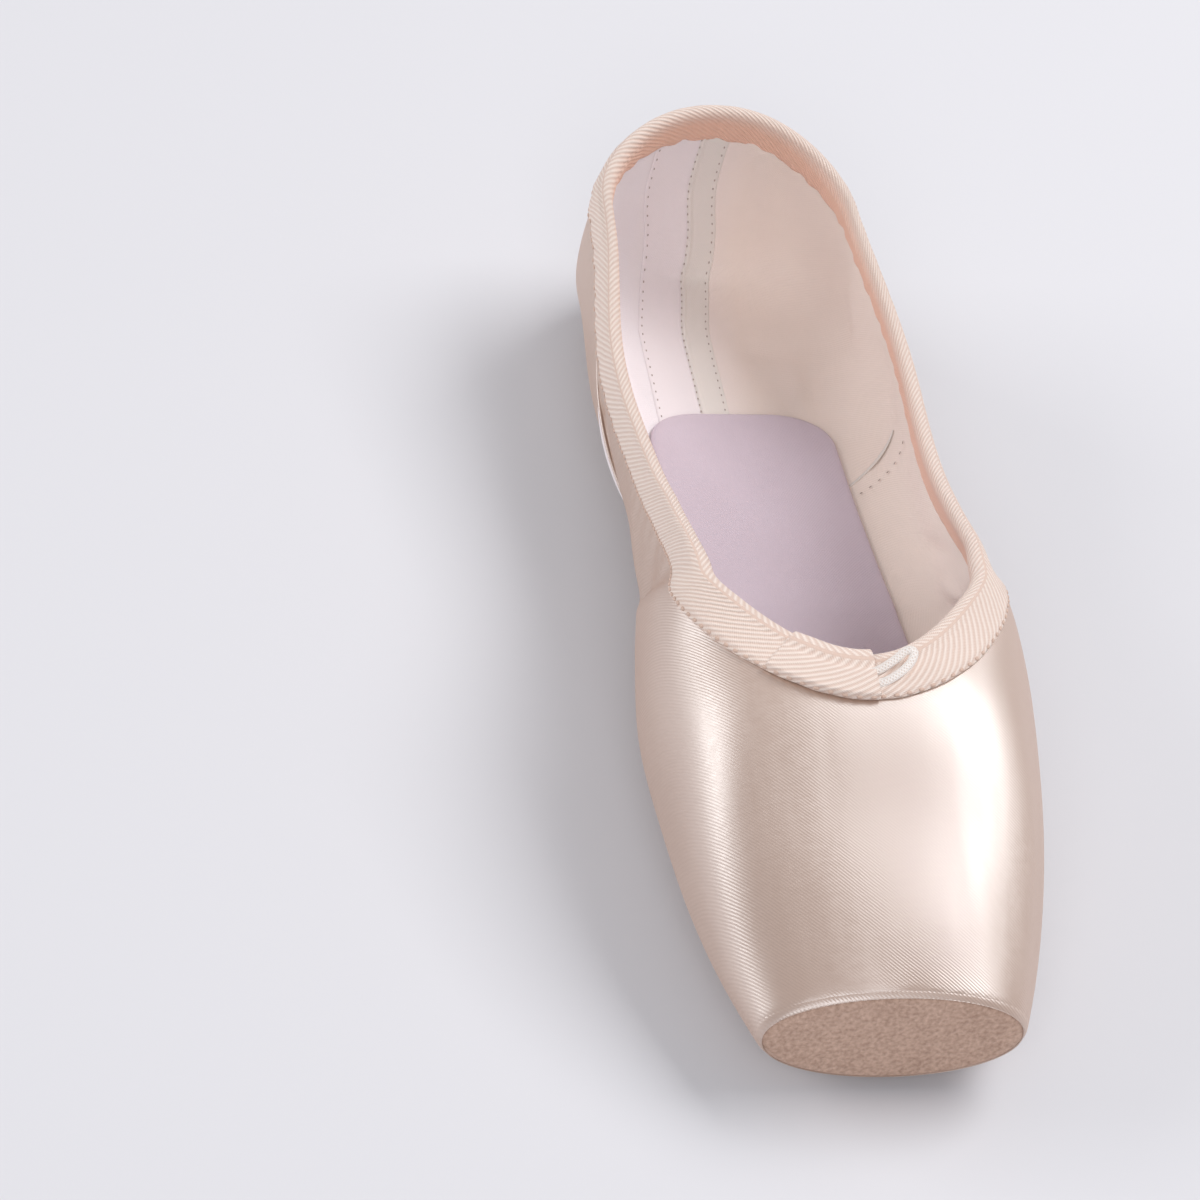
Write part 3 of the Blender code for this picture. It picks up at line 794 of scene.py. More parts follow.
@dataclass(frozen=True)
class Cloth:
    """A plain woven cloth: threads over and under, with soft stains of a second colour."""

    name: str
    pale: Colour
    deep: Colour
    pitch: float
    relief: float
    beyond: Optional[Colour] = None
    turn: Tuple[float, float] = (0.0, 0.0)
    coord: str = "UV"

    def make(self) -> Finish:
        """The material; the weave is the difference of two rows of ridges at right angles. From
        one side of the turn to the other the colour goes over to the one beyond, which on the
        lining is painted shade and bounced light.

        Returns:
            The material.
        """
        graph = Graph(self.name)
        u, v, _ = graph.axis(graph.coord["UV"])
        warp, weft = graph.waves(u, self.pitch), graph.waves(v, self.pitch)
        weave = graph.maths("ABSOLUTE", graph.maths("SUBTRACT", warp, weft))
        solid = graph.coord["Object"]
        cloud = graph.noise(solid, 38.0, 4.0)
        fibres = graph.noise(solid, 2600.0, 2.0)
        share = graph.scaled(weave, 0.25, graph.scaled(cloud, 0.7))
        colour = graph.between(share, self.pale, self.deep)
        # the colour beyond the turn: on the lining it is painted shade and bounced light on the
        # right inner wall; on the seam strip it is the greyer beige right of the seam
        if self.beyond:
            low, high = self.turn
            across = graph.axis(graph.coord[self.coord])[0]
            past = graph.maths("DIVIDE", graph.maths("SUBTRACT", across, low), high - low)
            past = graph.maths("MINIMUM", graph.maths("MAXIMUM", past, 0.0), 1.0)
            dim = graph.scaled(share, -0.16, 1.0)
            other = graph.node("VectorMath", {0: self.beyond, "Scale": dim}, operation="SCALE")
            colour = graph.between(past, colour, other.outputs[0])
        height = graph.scaled(fibres, 0.6, weave)
        return graph.dress({"Base Color": colour, "Normal": graph.bump(height, self.relief, 0.7),
                            "Roughness": 0.9, "Sheen Weight": 0.15})


@dataclass(frozen=True)
class Leather:
    """Suede or plain leather: speckled colour and a nap or grain."""

    name: str
    pale: Colour
    deep: Colour
    nap: float
    relief: float
    rough: float

    def make(self) -> Finish:
        """The material; fine and coarse noise together make the nap.

        Returns:
            The material.
        """
        graph = Graph(self.name)
        place = graph.coord["Object"]
        fine = graph.noise(place, self.nap, 4.0)
        coarse = graph.noise(place, self.nap / 9, 3.0)
        speck = graph.scaled(fine, 2.4, -0.70)
        share = graph.scaled(coarse, 0.35, graph.scaled(speck, 0.65))
        height = graph.scaled(coarse, 0.7, fine)
        return graph.dress({
            "Base Color": graph.between(share, self.pale, self.deep),
            "Normal": graph.bump(height, self.relief, 0.8), "Roughness": self.rough,
            "Sheen Weight": 0.1,
        })


@dataclass(frozen=True)
class Thread:
    """Sewing thread: one colour with a fine twist."""

    name: str = "thread"
    # partly the thread's own colour and partly painted shade: darker than the tape, so that the
    # stitches show as the shadowed dashes along the tape's edge
    colour: Colour = (0.66, 0.48, 0.39)
    twist: float = 0.0004

    def make(self) -> Finish:
        """The material; the twist is a slanting wave on the stitch's own map.

        Returns:
            The material.
        """
        graph = Graph(self.name)
        u, v, _ = graph.axis(graph.coord["UV"])
        twist = graph.waves(graph.maths("ADD", u, v), self.twist)
        return graph.dress({"Base Color": (*self.colour, 1.0), "Roughness": 0.6,
                            "Normal": graph.bump(twist, 0.00004, 0.6)})


@dataclass(frozen=True)
class Elastic:
    """Flat braided elastic, cream."""

    pale: Colour = (0.97, 0.92, 0.88)
    deep: Colour = (0.80, 0.68, 0.60)
    braid: float = 0.0007

    def make(self) -> Finish:
        """The material; the braid is two crossing rows of slanting ridges.

        Returns:
            The material.
        """
        graph = Graph("elastic")
        u, v, _ = graph.axis(graph.coord["UV"])
        rows = [graph.waves(graph.maths(way, u, v), self.braid) for way in ("ADD", "SUBTRACT")]
        braid = graph.maths("MAXIMUM", *rows)
        share = graph.maths("SUBTRACT", 1.0, braid)
        return graph.dress({"Base Color": graph.between(share, self.pale, self.deep),
                            "Normal": graph.bump(braid, 0.00012, 0.7), "Roughness": 0.7})


# the lining's peach past the turn, towards +X, is painted shade and bounced light on the right
# inner wall
LINING = Cloth("lining", pale=(0.93, 0.90, 0.93), deep=(0.88, 0.80, 0.82), pitch=0.0006,
               relief=0.00006, beyond=(0.96, 0.84, 0.76), turn=(-0.020, 0.004), coord="Object")
SEAM_TAPE = Cloth("seam_tape", pale=(0.92, 0.86, 0.88), deep=(0.86, 0.79, 0.80), pitch=0.0005,
                  relief=0.00006, beyond=(0.88, 0.83, 0.78), turn=(-0.0001, 0.0001))
SOCK_CLOTH = Cloth("sock_cloth", pale=(0.665, 0.575, 0.65), deep=(0.565, 0.47, 0.53),
                   pitch=0.0005, relief=0.00008)
SUEDE = Leather("suede", pale=(0.74, 0.52, 0.41), deep=(0.38, 0.235, 0.17), nap=1200.0,
                relief=0.0006, rough=0.95)
SOLE_LEATHER = Leather("sole_leather", pale=(0.70, 0.57, 0.44), deep=(0.56, 0.43, 0.31),
                       nap=500.0, relief=0.0001, rough=0.6)
DARK_THREAD = Thread("dark_thread", (0.44, 0.36, 0.32))


@dataclass(frozen=True)
class Crease:
    """A soft ridge, or a trough where its height is negative, along a line on the last."""

    start: Place
    end: Place
    width: float
    height: float

    def relief(self, points: Array) -> Array:
        """A bell of the distance from the line, which fades to both ends as half a sine.

        Args:
            points: places on the last (..., 3).

        Returns:
            The height at each place.
        """
        start = np.array(self.start)
        way = np.array(self.end) - start
        share = np.clip((points - start) @ way / (way @ way), 0, 1)
        away = np.linalg.norm(points - start - share[..., None] * way, axis=-1)
        return self.height * bell(away, 0.0, self.width) * np.sin(math.pi * share) ** 0.6


# start, end, width and height of each crease
CREASES: Dict[Side, Tuple[Tuple[Place, Place, float, float], ...]] = {
    Side.OUTER: (
        ((-0.036, 0.119, 0.040), (-0.031, 0.104, 0.008), 0.0050, -0.0009),
        ((-0.034, 0.142, 0.028), (-0.031, 0.112, 0.008), 0.0045, 0.0006),
        ((-0.0335, 0.167, 0.0232), (-0.0318, 0.145, 0.0144), 0.0012, -0.0014),
        ((0.036, 0.121, 0.038), (0.031, 0.108, 0.008), 0.0045, -0.0008),
        ((0.034, 0.146, 0.030), (0.031, 0.118, 0.008), 0.0045, 0.0006),
        ((-0.024, 0.214, 0.036), (-0.016, 0.205, 0.006), 0.0050, -0.0005),
        ((0.024, 0.212, 0.036), (0.018, 0.204, 0.006), 0.0050, -0.0005),
    ),
    Side.INNER: (
        ((0.0252, 0.131, 0.0116), (0.0327, 0.0964, 0.0283), 0.0020, 0.0012),
        ((0.0100, 0.229, 0.046), (0.0174, 0.222, 0.009), 0.0032, 0.0019),
        ((0.0170, 0.224, 0.012), (0.0155, 0.178, 0.006), 0.0024, 0.0013),
        ((0.0060, 0.205, 0.005), (0.0285, 0.196, 0.017), 0.0032, -0.0012),
        ((0.0240, 0.170, 0.010), (0.0290, 0.205, 0.022), 0.0040, 0.0012),
        ((-0.0250, 0.214, 0.040), (-0.0260, 0.196, 0.010), 0.0040, 0.0006),
        ((0.0250, 0.158, 0.012), (0.0310, 0.186, 0.024), 0.0030, -0.0010),
        ((0.0240, 0.176, 0.010), (0.0240, 0.216, 0.020), 0.0026, 0.0010),
        ((0.0290, 0.134, 0.013), (0.0340, 0.112, 0.031), 0.0024, -0.0010),
        ((0.0310, 0.112, 0.015), (0.0340, 0.086, 0.028), 0.0030, 0.0010),
    ),
}


@dataclass
class Upper:
    """The satin and the lining, one fine shell each side of the solid wall."""

    columns: int = 480
    rows: int = 150
    under: Tuple[float, float] = (0.42, 0.18)
    tucked: float = 0.004
    half_girth: float = 0.27
    fan_centre: float = 0.060
    pleat_turns: float = 28.6
    pleat_height: float = 0.0007
    pucker_pitch: float = 0.0052
    pucker_height: float = 0.00012
    pucker_line: float = 0.0095
    pucker_width: float = 0.0028
    hidden: float = 0.0012

    def grid(self, side: Side) -> Tuple[Array, Array, Array]:
        """One face of the upper, from the collar to under the sole.

        Args:
            side: the face.

        Returns:
            Points in x, t, z, their map, and their distance down from the collar.
        """
        ribs = Ribs(np.linspace(-1, 1, self.columns + 1)[:-1])
        share = np.linspace(0, 1, self.rows)[None]
        total = ribs.length_to_sole(self.under[side is Side.INNER])[:, None]
        down = self.tucked + (total - self.tucked) * share
        face = LAST.outside if side is Side.OUTER else LAST.inside
        points = ribs.points(ribs.down(down), face).transpose(1, 0, 2)
        around = np.linspace(-1, 1, self.columns + 1) * self.half_girth
        along = np.concatenate([down, down[:1]]).T
        uv = np.stack([np.broadcast_to(around, along.shape), along], -1)
        return points, uv, down.T

    def satin_relief(self, points: Array, down: Array) -> Array:
        """How far the satin stands off the last: pleats under the toe and puckers under the tape,
        both sines; behind the suede it lies lower.

        Args:
            points: the places in x, t, z.
            down: their distance down from the collar.

        Returns:
            The height at each place.
        """
        x, t, z = points[..., 0], points[..., 1], points[..., 2]
        under = smooth(0.010, 0.0055, z) * smooth(0.0, 0.004, t) * smooth(0.034, 0.020, t)
        fan = np.arctan2(x, self.fan_centre - t)
        pleats = np.abs(np.sin(fan * self.pleat_turns)) ** 0.6 * self.pleat_height * under
        wave = np.sin(t * 2 * math.pi / self.pucker_pitch + 3 * np.sin(t * 90))
        puckers = (self.pucker_height * wave * smooth(0.085, 0.11, t)
                   * bell(down, self.pucker_line, self.pucker_width))
        share = np.hypot(x / (LAST.platform_width / 2),
                         (z - LAST.platform_middle) / (LAST.platform_height / 2))
        hidden = -self.hidden * smooth(1.02, 0.96, share) * smooth(0.006, 0.003, t)
        return pleats + puckers + hidden

    def build(self, satin: Finish, lining: Finish) -> List[Piece]:
        """Both shells, which stand for the upper's solid.

        Args:
            satin: the outer material.
            lining: the inner one.

        Returns:
            The satin and the lining.
        """
        made = []
        for side, finish in ((Side.OUTER, satin), (Side.INNER, lining)):
            points, uv, down = self.grid(side)
            outward = points - LAST.heart(points[..., 1])
            facing = outward if side is Side.OUTER else -outward
            normal = normals(points, True)
            normal *= np.sign((normal * facing).sum(-1, keepdims=True))
            relief = sum(Crease(*row).relief(points) for row in CREASES[side])
            if side is Side.OUTER:
                relief = relief + self.satin_relief(points, down)
            points = points + normal * relief[..., None]
            piece = surface(side.value, LAST.to_world(points), uv, finish, facing, True)
            made.append(fitted(piece, "satin", "upper"))
        return made


@dataclass
class Platform:
    """The suede on the platform, and the satin's folded edge round it."""

    around: int = 240
    rings: int = 40
    behind: float = 0.035
    # the suede's last two rings, tucked in under the fold: shares of the outline, stand-offs
    rim_shares: Tuple[float, float] = (1.002, 1.010)
    rim_off: Tuple[float, float] = (-0.0002, -0.0006)
    fold_start: float = 1.13
    fold_level: float = 1.07
    fold_end: float = 0.996
    fold_stand: float = 0.00006
    fold_proud: float = 0.00005
    roll_share: float = 0.006
    roll_stand: float = 0.00016

    def cast(self, shares: Array, off: Array) -> Array:
        """Places where rays through shares of the platform's outline, a superellipse, leave the
        last.

        Args:
            shares: the rings' shares of the outline.
            off: how far each ring stands off.

        Returns:
            The rings (shares, around, 3) in x, t, z.
        """
        turn = np.linspace(0, 2 * math.pi, self.around, endpoint=False)
        power = 2 / LAST.platform_roundness
        across = signed_power(np.cos(turn), power) * LAST.platform_width / 2
        along = signed_power(np.sin(turn), power) * LAST.platform_height / 2
        way = unit(np.stack([shares[:, None] * across,
                             np.full((len(shares), self.around), -self.behind),
                             shares[:, None] * along], -1))
        start = np.broadcast_to(np.array([0.0, self.behind, LAST.platform_middle]), way.shape)
        return LAST.cast(start, way, lowered(LAST.outside, -off[:, None]))

    def build(self, suede: Finish, satin: Finish) -> List[Piece]:
        """The suede disc and the folded edge.

        Args:
            suede: the disc's material.
            satin: the edge's material.

        Returns:
            Both pieces.
        """
        shares = np.r_[0.004, np.linspace(0.04, 0.988, self.rings), self.rim_shares]
        off = np.r_[np.zeros(self.rings + 1), self.rim_off]
        pieces = []
        for name, points, finish, slot, node in (
                ("suede_platform", self.cast(shares, off), suede, "suede", "toe_patch"),
                ("satin_fold", self.fold(), satin, "satin", "upper")):
            rows = np.linspace(0, 0.03, len(points))[:, None]
            around = np.linspace(0, 0.12, self.around + 1)[None]
            uv = np.stack(np.broadcast_arrays(around, rows), -1)
            facing = points - np.array([0.0, self.behind, LAST.platform_middle])
            piece = surface(name, LAST.to_world(points), uv, finish, facing, True)
            pieces.append(fitted(piece, slot, node))
        return pieces

    def fold(self) -> Array:
        """The edge: level with the satin outside, a little proud at the rim, and rolled in by half
        a turn.

        Returns:
            Its rings in x, t, z.
        """
        turn = np.linspace(0, math.pi, 9)[1:]
        flat = np.linspace(self.fold_start, self.fold_end, 26)
        proud = (self.fold_proud * smooth(self.fold_start, 1.0, flat)
                 - self.fold_stand * smooth(self.fold_level, self.fold_start, flat))
        shares = np.r_[flat, self.fold_end - self.roll_share * np.sin(turn)]
        return self.cast(shares, np.r_[proud, self.fold_stand + self.roll_stand * np.cos(turn)])


@dataclass
class Binding:
    """The herringbone tape folded over the collar, its lap, the drawstring and the stitches."""

    columns: int = 620
    depth: float = 0.0072
    thickness: float = 0.0006
    lap: float = 0.009
    lap_end: float = 0.001
    lap_rise: float = 0.010
    lap_margin: float = 0.0015
    lap_share: float = -0.75
    pressed: float = 0.55
    pressed_from: float = 0.84
    cord: float = 0.0004
    wall: float = 0.0004
    edge_place: float = 1.02
    edge_map: float = 1.04
    edge_stand: float = 0.00005
    edge_lift: float = 0.1
    places: int = 45
    selvedge: float = 0.0020
    stitch_pitch: float = 0.0017
    stitch_length: float = 0.0011
    stitch_thick: float = 1.5
    pucker_row: int = 20
    pucker_pitches: Tuple[float, float] = (0.0061, 0.0039)
    pucker_heights: Tuple[float, float] = (0.00004, 0.00016)

    def toe_share(self, sideways: float) -> float:
        """The rib that meets the throat's edge at a place.

        Args:
            sideways: the place's distance across from the middle.

        Returns:
            The rib's share, above 1 on the -X side.
        """
        shares = np.linspace(0.8, 1.0, 60)
        ribs = Ribs(shares)
        edge = ribs.points(ribs.collar[:, None], LAST.outside)[:, 0, 0]
        share = float(np.interp(abs(sideways), edge[::-1], shares[::-1]))
        return 2 - share if sideways < 0 else share

    def lift(self, shares: Array, ribs: Ribs) -> Array:
        """How far the tape's second end stands off to lie over the first.

        Args:
            shares: the ribs' shares.
            ribs: the ribs along the tape.

        Returns:
            The stand-off at each rib.
        """
        x = ribs.points(ribs.collar[:, None], LAST.outside)[:, 0, 0]
        high = self.thickness + self.cord
        full = -self.lap - self.lap_margin
        over = smooth(full - self.lap_rise, full, x) * high
        return np.where(shares < self.lap_share, over, 0.0)

    def section(self, ribs: Ribs, lift: Array, across: Array, proud: float) -> Array:
        """Points of the tape over the ribs.

        Args:
            ribs: the ribs along the tape.
            lift: the stand-off of each rib.
            across: places across the tape, from -1 at its outer edge to 1 at its inner edge.
            proud: the height of the surface over the wall.

        Returns:
            The grid (places, ribs, 3) in x, t, z.
        """
        rim_out = ribs.points(ribs.collar[:, None], LAST.outside)
        rim_in = ribs.points(ribs.collar[:, None], LAST.inside)
        above = ribs.points(ribs.collar[:, None] + 0.02, LAST.outside) - rim_out
        half = (rim_out - rim_in) / 2
        centre = (rim_out + rim_in) / 2
        size = np.linalg.norm(half, axis=2, keepdims=True)
        above = unit(above - half * (above * half).sum(2, keepdims=True) / size ** 2)
        gap = (lift + proud)[:, None]
        reach = float(size.mean()) + proud
        arc = math.pi * reach / 2 / (self.depth + math.pi * reach / 2)
        grid = np.empty((len(across), len(ribs.foot), 3))
        for k, place in enumerate(across):
            beyond = (abs(place) - arc) / (1 - arc)
            if beyond > 0:
                angle = ribs.down(np.full((len(ribs.foot), 1), beyond * self.depth))
                pressed = gap * (1 - self.pressed * smooth(self.pressed_from, 1.0, abs(place)))
                face = (lowered(LAST.outside, -pressed) if place < 0
                        else lowered(LAST.inside, pressed))
                grid[k] = ribs.points(angle, face)[:, 0]
            else:
                turn = math.pi / 2 * (1 + place / arc)
                grid[k] = (centre + (size + gap[..., None])
                           * (math.cos(turn) * half / size + math.sin(turn) * above))[:, 0]
        return grid

    def build(self, tape: Finish, thread: Finish, elastic: Finish) -> List[Piece]:
        """The tape, its stitches and the loop of elastic.

        Args:
            tape: the tape's material.
            thread: the stitches' material.
            elastic: the loop's material.

        Returns:
            The three pieces.
        """
        first = self.toe_share(-self.lap)
        final = self.toe_share(self.lap_end) - 2
        shares = np.linspace(first, final, self.columns)
        ribs = Ribs((shares + 1) % 2 - 1)
        lift = self.lift(shares, ribs)
        across = np.linspace(-1, 1, self.places)
        proud = LAST.clearance + self.thickness
        skin = self.section(ribs, lift, across, proud)
        foot = self.section(ribs, lift * self.edge_lift,
                            np.array([-self.edge_place, self.edge_place]), self.edge_stand)
        grid = np.concatenate([foot[:1], skin, foot[1:]])
        grid = self.puckered(grid, across)
        run = lengths(skin[self.places // 2])
        places = np.r_[-self.edge_map, across, self.edge_map] * (self.depth + self.selvedge)
        uv = np.stack(np.broadcast_arrays(run[None], places[:, None]), -1)
        middle = (grid[0] + grid[-1])[None] / 2 - np.array([0, 0, 0.004])
        piece = surface("folded_tape", LAST.to_world(grid), uv, tape, grid - middle)
        thick = piece.modifiers.new("thickness", "SOLIDIFY")
        thick.thickness = self.wall
        thick.offset = -1.0
        fitted(piece, "tape", "binding")
        return [piece, self.stitches(grid[2], grid[1], run, thread), self.loop(elastic)]

    def puckered(self, grid: Array, across: Array) -> Array:
        """Small waves along both edges: two sines along the tape, higher towards the heel.

        Args:
            grid: the tape (places, ribs, 3).
            across: its places.

        Returns:
            The waved grid.
        """
        edge = np.r_[1.0, np.abs(across), 1.0][:, None] ** 2
        run = lengths(grid[self.pucker_row])[None]
        long, short = self.pucker_pitches
        wave = (np.sin(run * 2 * math.pi / long + 1.3 * np.sin(run * 140))
                + 0.5 * np.sin(run * 2 * math.pi / short))
        least, more = self.pucker_heights
        amount = more * smooth(0.12, 0.21, grid[..., 1]) + least
        return grid + normals(grid) * (wave * edge * amount)[..., None]

    def stitches(self, line: Array, beside: Array, run: Array,
                 thread: Finish) -> Piece:
        """A row of short rounded dashes along a line of the tape.

        Args:
            line: the line's points (ribs, 3).
            beside: a line beside it on the tape.
            run: the length at each rib.
            thread: the material.

        Returns:
            The row.
        """
        count = int(run[-1] / self.stitch_pitch)
        at = (np.arange(count) + 0.5) * run[-1] / count
        centre = read_off(at, run, line)
        ahead = read_off(at + 0.0004, run, line) - centre
        side = read_off(at, run, beside) - centre
        return stitch_row("tape_stitches", LAST.to_world(centre), ahead, side,
                          self.stitch_length, thread, "tape", self.stitch_thick)

    def loop(self, elastic: Finish) -> Piece:
        """The flat loop of elastic that comes out from under the lap and goes back: a flat section
        carried along a cubic through the route.

        Args:
            elastic: the material.

        Returns:
            The loop.
        """
        string = Drawstring()
        route = np.array(string.route)
        shares = np.array([self.toe_share(float(x)) for x in route[:, 0]])
        ribs = Ribs((shares + 1) % 2 - 1)
        angles = ribs.down(route[:, 1:2])
        skin = ribs.points(angles, LAST.outside)
        probe = 0.0005
        off = (skin - ribs.points(angles, lowered(LAST.outside, probe)))[:, 0] / probe
        stand = LAST.clearance + self.thickness + self.cord * 0.75 + string.rise * route[:, 2]
        points = skin[:, 0] + off * stand[:, None]
        run = lengths(points)
        fine = np.linspace(0, run[-1], 90)
        path = LAST.to_world(curve_off(fine, run, points))
        ahead = unit(np.gradient(path, axis=0))
        side = unit(np.cross(ahead, unit(curve_off(fine, run, off))))
        turn = np.linspace(0, 2 * math.pi, 24, endpoint=False)
        section = np.stack([string.width / 2 * signed_power(np.cos(turn), 0.5),
                            self.cord / 2 * signed_power(np.sin(turn), 0.7)], 1)
        piece = bar("drawstring_loop", path, side, np.cross(side, ahead), section[None], 0.007,
                    np.r_[0, fine, fine[-1]], elastic)
        fitted(piece, "elastic", "drawstring")
        length = float(lengths(path)[-1])
        LOG.info("elastic loop %.1f mm", 1000 * length)
        tuple(path[0])
        return piece


@dataclass(frozen=True)
class Drawstring:
    """The elastic's width, and its route: sideways of the throat's middle, down from the
    collar's edge, and lift over the tape before it is multiplied by the rise."""

    width: float = 0.0017
    rise: float = 1.4
    route: Tuple[Tuple[float, float, float], ...] = (
        (-0.0076, 0.0014, 0.0000), (-0.0030, 0.0014, 0.0000), (0.0010, 0.0008, 0.0001),
        (0.0036, -0.0006, 0.0006), (0.0058, -0.0018, 0.0011), (0.0074, -0.0024, 0.0015),
        (0.0083, -0.0018, 0.0016), (0.0078, -0.0006, 0.0012), (0.0062, 0.0009, 0.0007),
        (0.0039, 0.0024, 0.0003), (0.0008, 0.0037, 0.0000), (-0.0030, 0.0040, 0.0000),
        (-0.0076, 0.0040, 0.0000),
    )


# half the breadth and half the height of a sewing thread, and its lift off the cloth
THREAD_HALVES = (0.00024, 0.00016)
THREAD_LIFT = 0.00008


def stitch_row(name: str, centre: Array, ahead: Array, side: Array, length: float,
               thread: Finish, slot: str, thick: float, inner: bool = False) -> Piece:
    """Equal stitches as one mesh: each is a rounded bar, its section an ellipse that swells and
    thins as the sine of its length.

    Args:
        name: the object's name.
        centre: the stitches' middles in the shoe's frame (n, 3).
        ahead: the way along each stitch.
        side: a way beside it, on the surface.
        length: the stitch's length in metres.
        thread: the material.
        slot: the record's material slot.
        thick: the thread's thickness as a share of a sewing thread's.
        inner: True where the row lies on the lining and shows inside the shoe.

    Returns:
        The object.
    """
    ahead = unit(ahead)
    up = unit(np.cross(ahead, side))
    middle = np.array([0.0, LAST.length / 2, 0.0])
    away = centre + middle - LAST.heart(centre[:, 1] + LAST.length / 2)
    up = up * np.sign((up * away * (-1 if inner else 1)).sum(1, keepdims=True) + 1e-9)
    side = np.cross(up, ahead)
    along = np.array([-0.5, -0.42, -0.2, 0.2, 0.42, 0.5])
    swell = np.array([0.05, 0.7, 1.0, 1.0, 0.7, 0.05])
    turn = np.linspace(0, 2 * math.pi, 6, endpoint=False)
    ring = np.stack([np.cos(turn), np.sin(turn)], 1) * THREAD_HALVES * thick
    shape = (centre[:, None, None] + ahead[:, None, None] * (along * length)[None, :, None, None]
             + side[:, None, None] * (swell[:, None] * ring[None, :, 0])[None, :, :, None]
             + up[:, None, None] * (swell[:, None] * ring[None, :, 1]
                                    + THREAD_LIFT)[None, :, :, None])
    count, stations, around = shape.shape[:3]
    index = np.arange(stations * around).reshape(stations, around)
    turned = np.roll(index, -1, axis=1)
    quads = np.stack([index[:-1], turned[:-1], turned[1:], index[1:]], -1).reshape(-1, 4)
    every = (quads[None] + (np.arange(count) * stations * around)[:, None, None]).reshape(-1, 4)
    spot = np.stack(np.broadcast_arrays(along[:, None] * length, turn[None] * 0.0002), -1)
    coords = np.tile(spot.reshape(-1, 2)[quads], (count, 1, 1))
    return fitted(mesh_object(name, shape.reshape(-1, 3), every, coords, thread), slot)


@dataclass(frozen=True)
class Seam:
    """A raised line or a row of stitches on the outer or inner face, through places near it."""

    name: str
    side: Side
    places: Tuple[Place, ...]
    half: float = 0.0007
    height: float = 0.00035
    dot_length: float = 0.0007
    dot_thick: float = 0.6
    dot_stand: float = 0.00028

    def line(self, count: int) -> Tuple[Array, Array]:
        """Even places along the line on the face.

        Args:
            count: how many.

        Returns:
            The places and the way off the face, both in the shoe's frame.
        """
        hints = np.array(self.places)
        run = lengths(hints)
        hints = curve_off(np.linspace(0, run[-1], count), run, hints)
        start = LAST.heart(hints[:, 1])
        outer = self.side is Side.OUTER
        face = LAST.outside if outer else LAST.inside
        on, under = (LAST.to_world(LAST.cast(start, unit(hints - start), lowered(face, by)))
                     for by in (0.0, 0.0006 if outer else -0.0006))
        return on, unit(on - under)

    def build(self, finish: Finish) -> Piece:
        """The line as a rounded bar that thins to both ends.

        Args:
            finish: the material.

        Returns:
            The bar.
        """
        count = 90
        path, up = self.line(count)
        side = unit(np.cross(unit(np.gradient(path, axis=0)), up))
        turn = np.linspace(0, 2 * math.pi, 14, endpoint=False)
        thin = np.sin(math.pi * np.linspace(0.02, 0.98, count)) ** 0.35
        section = thin[:, None, None] * np.stack([np.cos(turn) * self.half,
                                                  np.sin(turn) * self.height], 1)[None]
        along = np.linspace(0, 0.04, count + 2)
        return fitted(bar(self.name, path, side, up, section, 0.003, along, finish), "satin")

    def dots(self, pitch: float, thread: Finish) -> Piece:
        """A row of short stitches along the line.

        Args:
            pitch: the distance between stitches.
            thread: the material.

        Returns:
            The row.
        """
        path, up = self.line(160)
        run = lengths(path)
        at = np.arange(pitch / 2, run[-1], pitch)
        centre, off = read_off(at, run, path), read_off(at, run, up)
        ahead = read_off(at + 0.0002, run, path) - centre
        return stitch_row(self.name, centre + off * self.dot_stand, ahead, np.cross(off, ahead),
                          self.dot_length, thread, "satin", self.dot_thick,
                          self.side is Side.INNER)


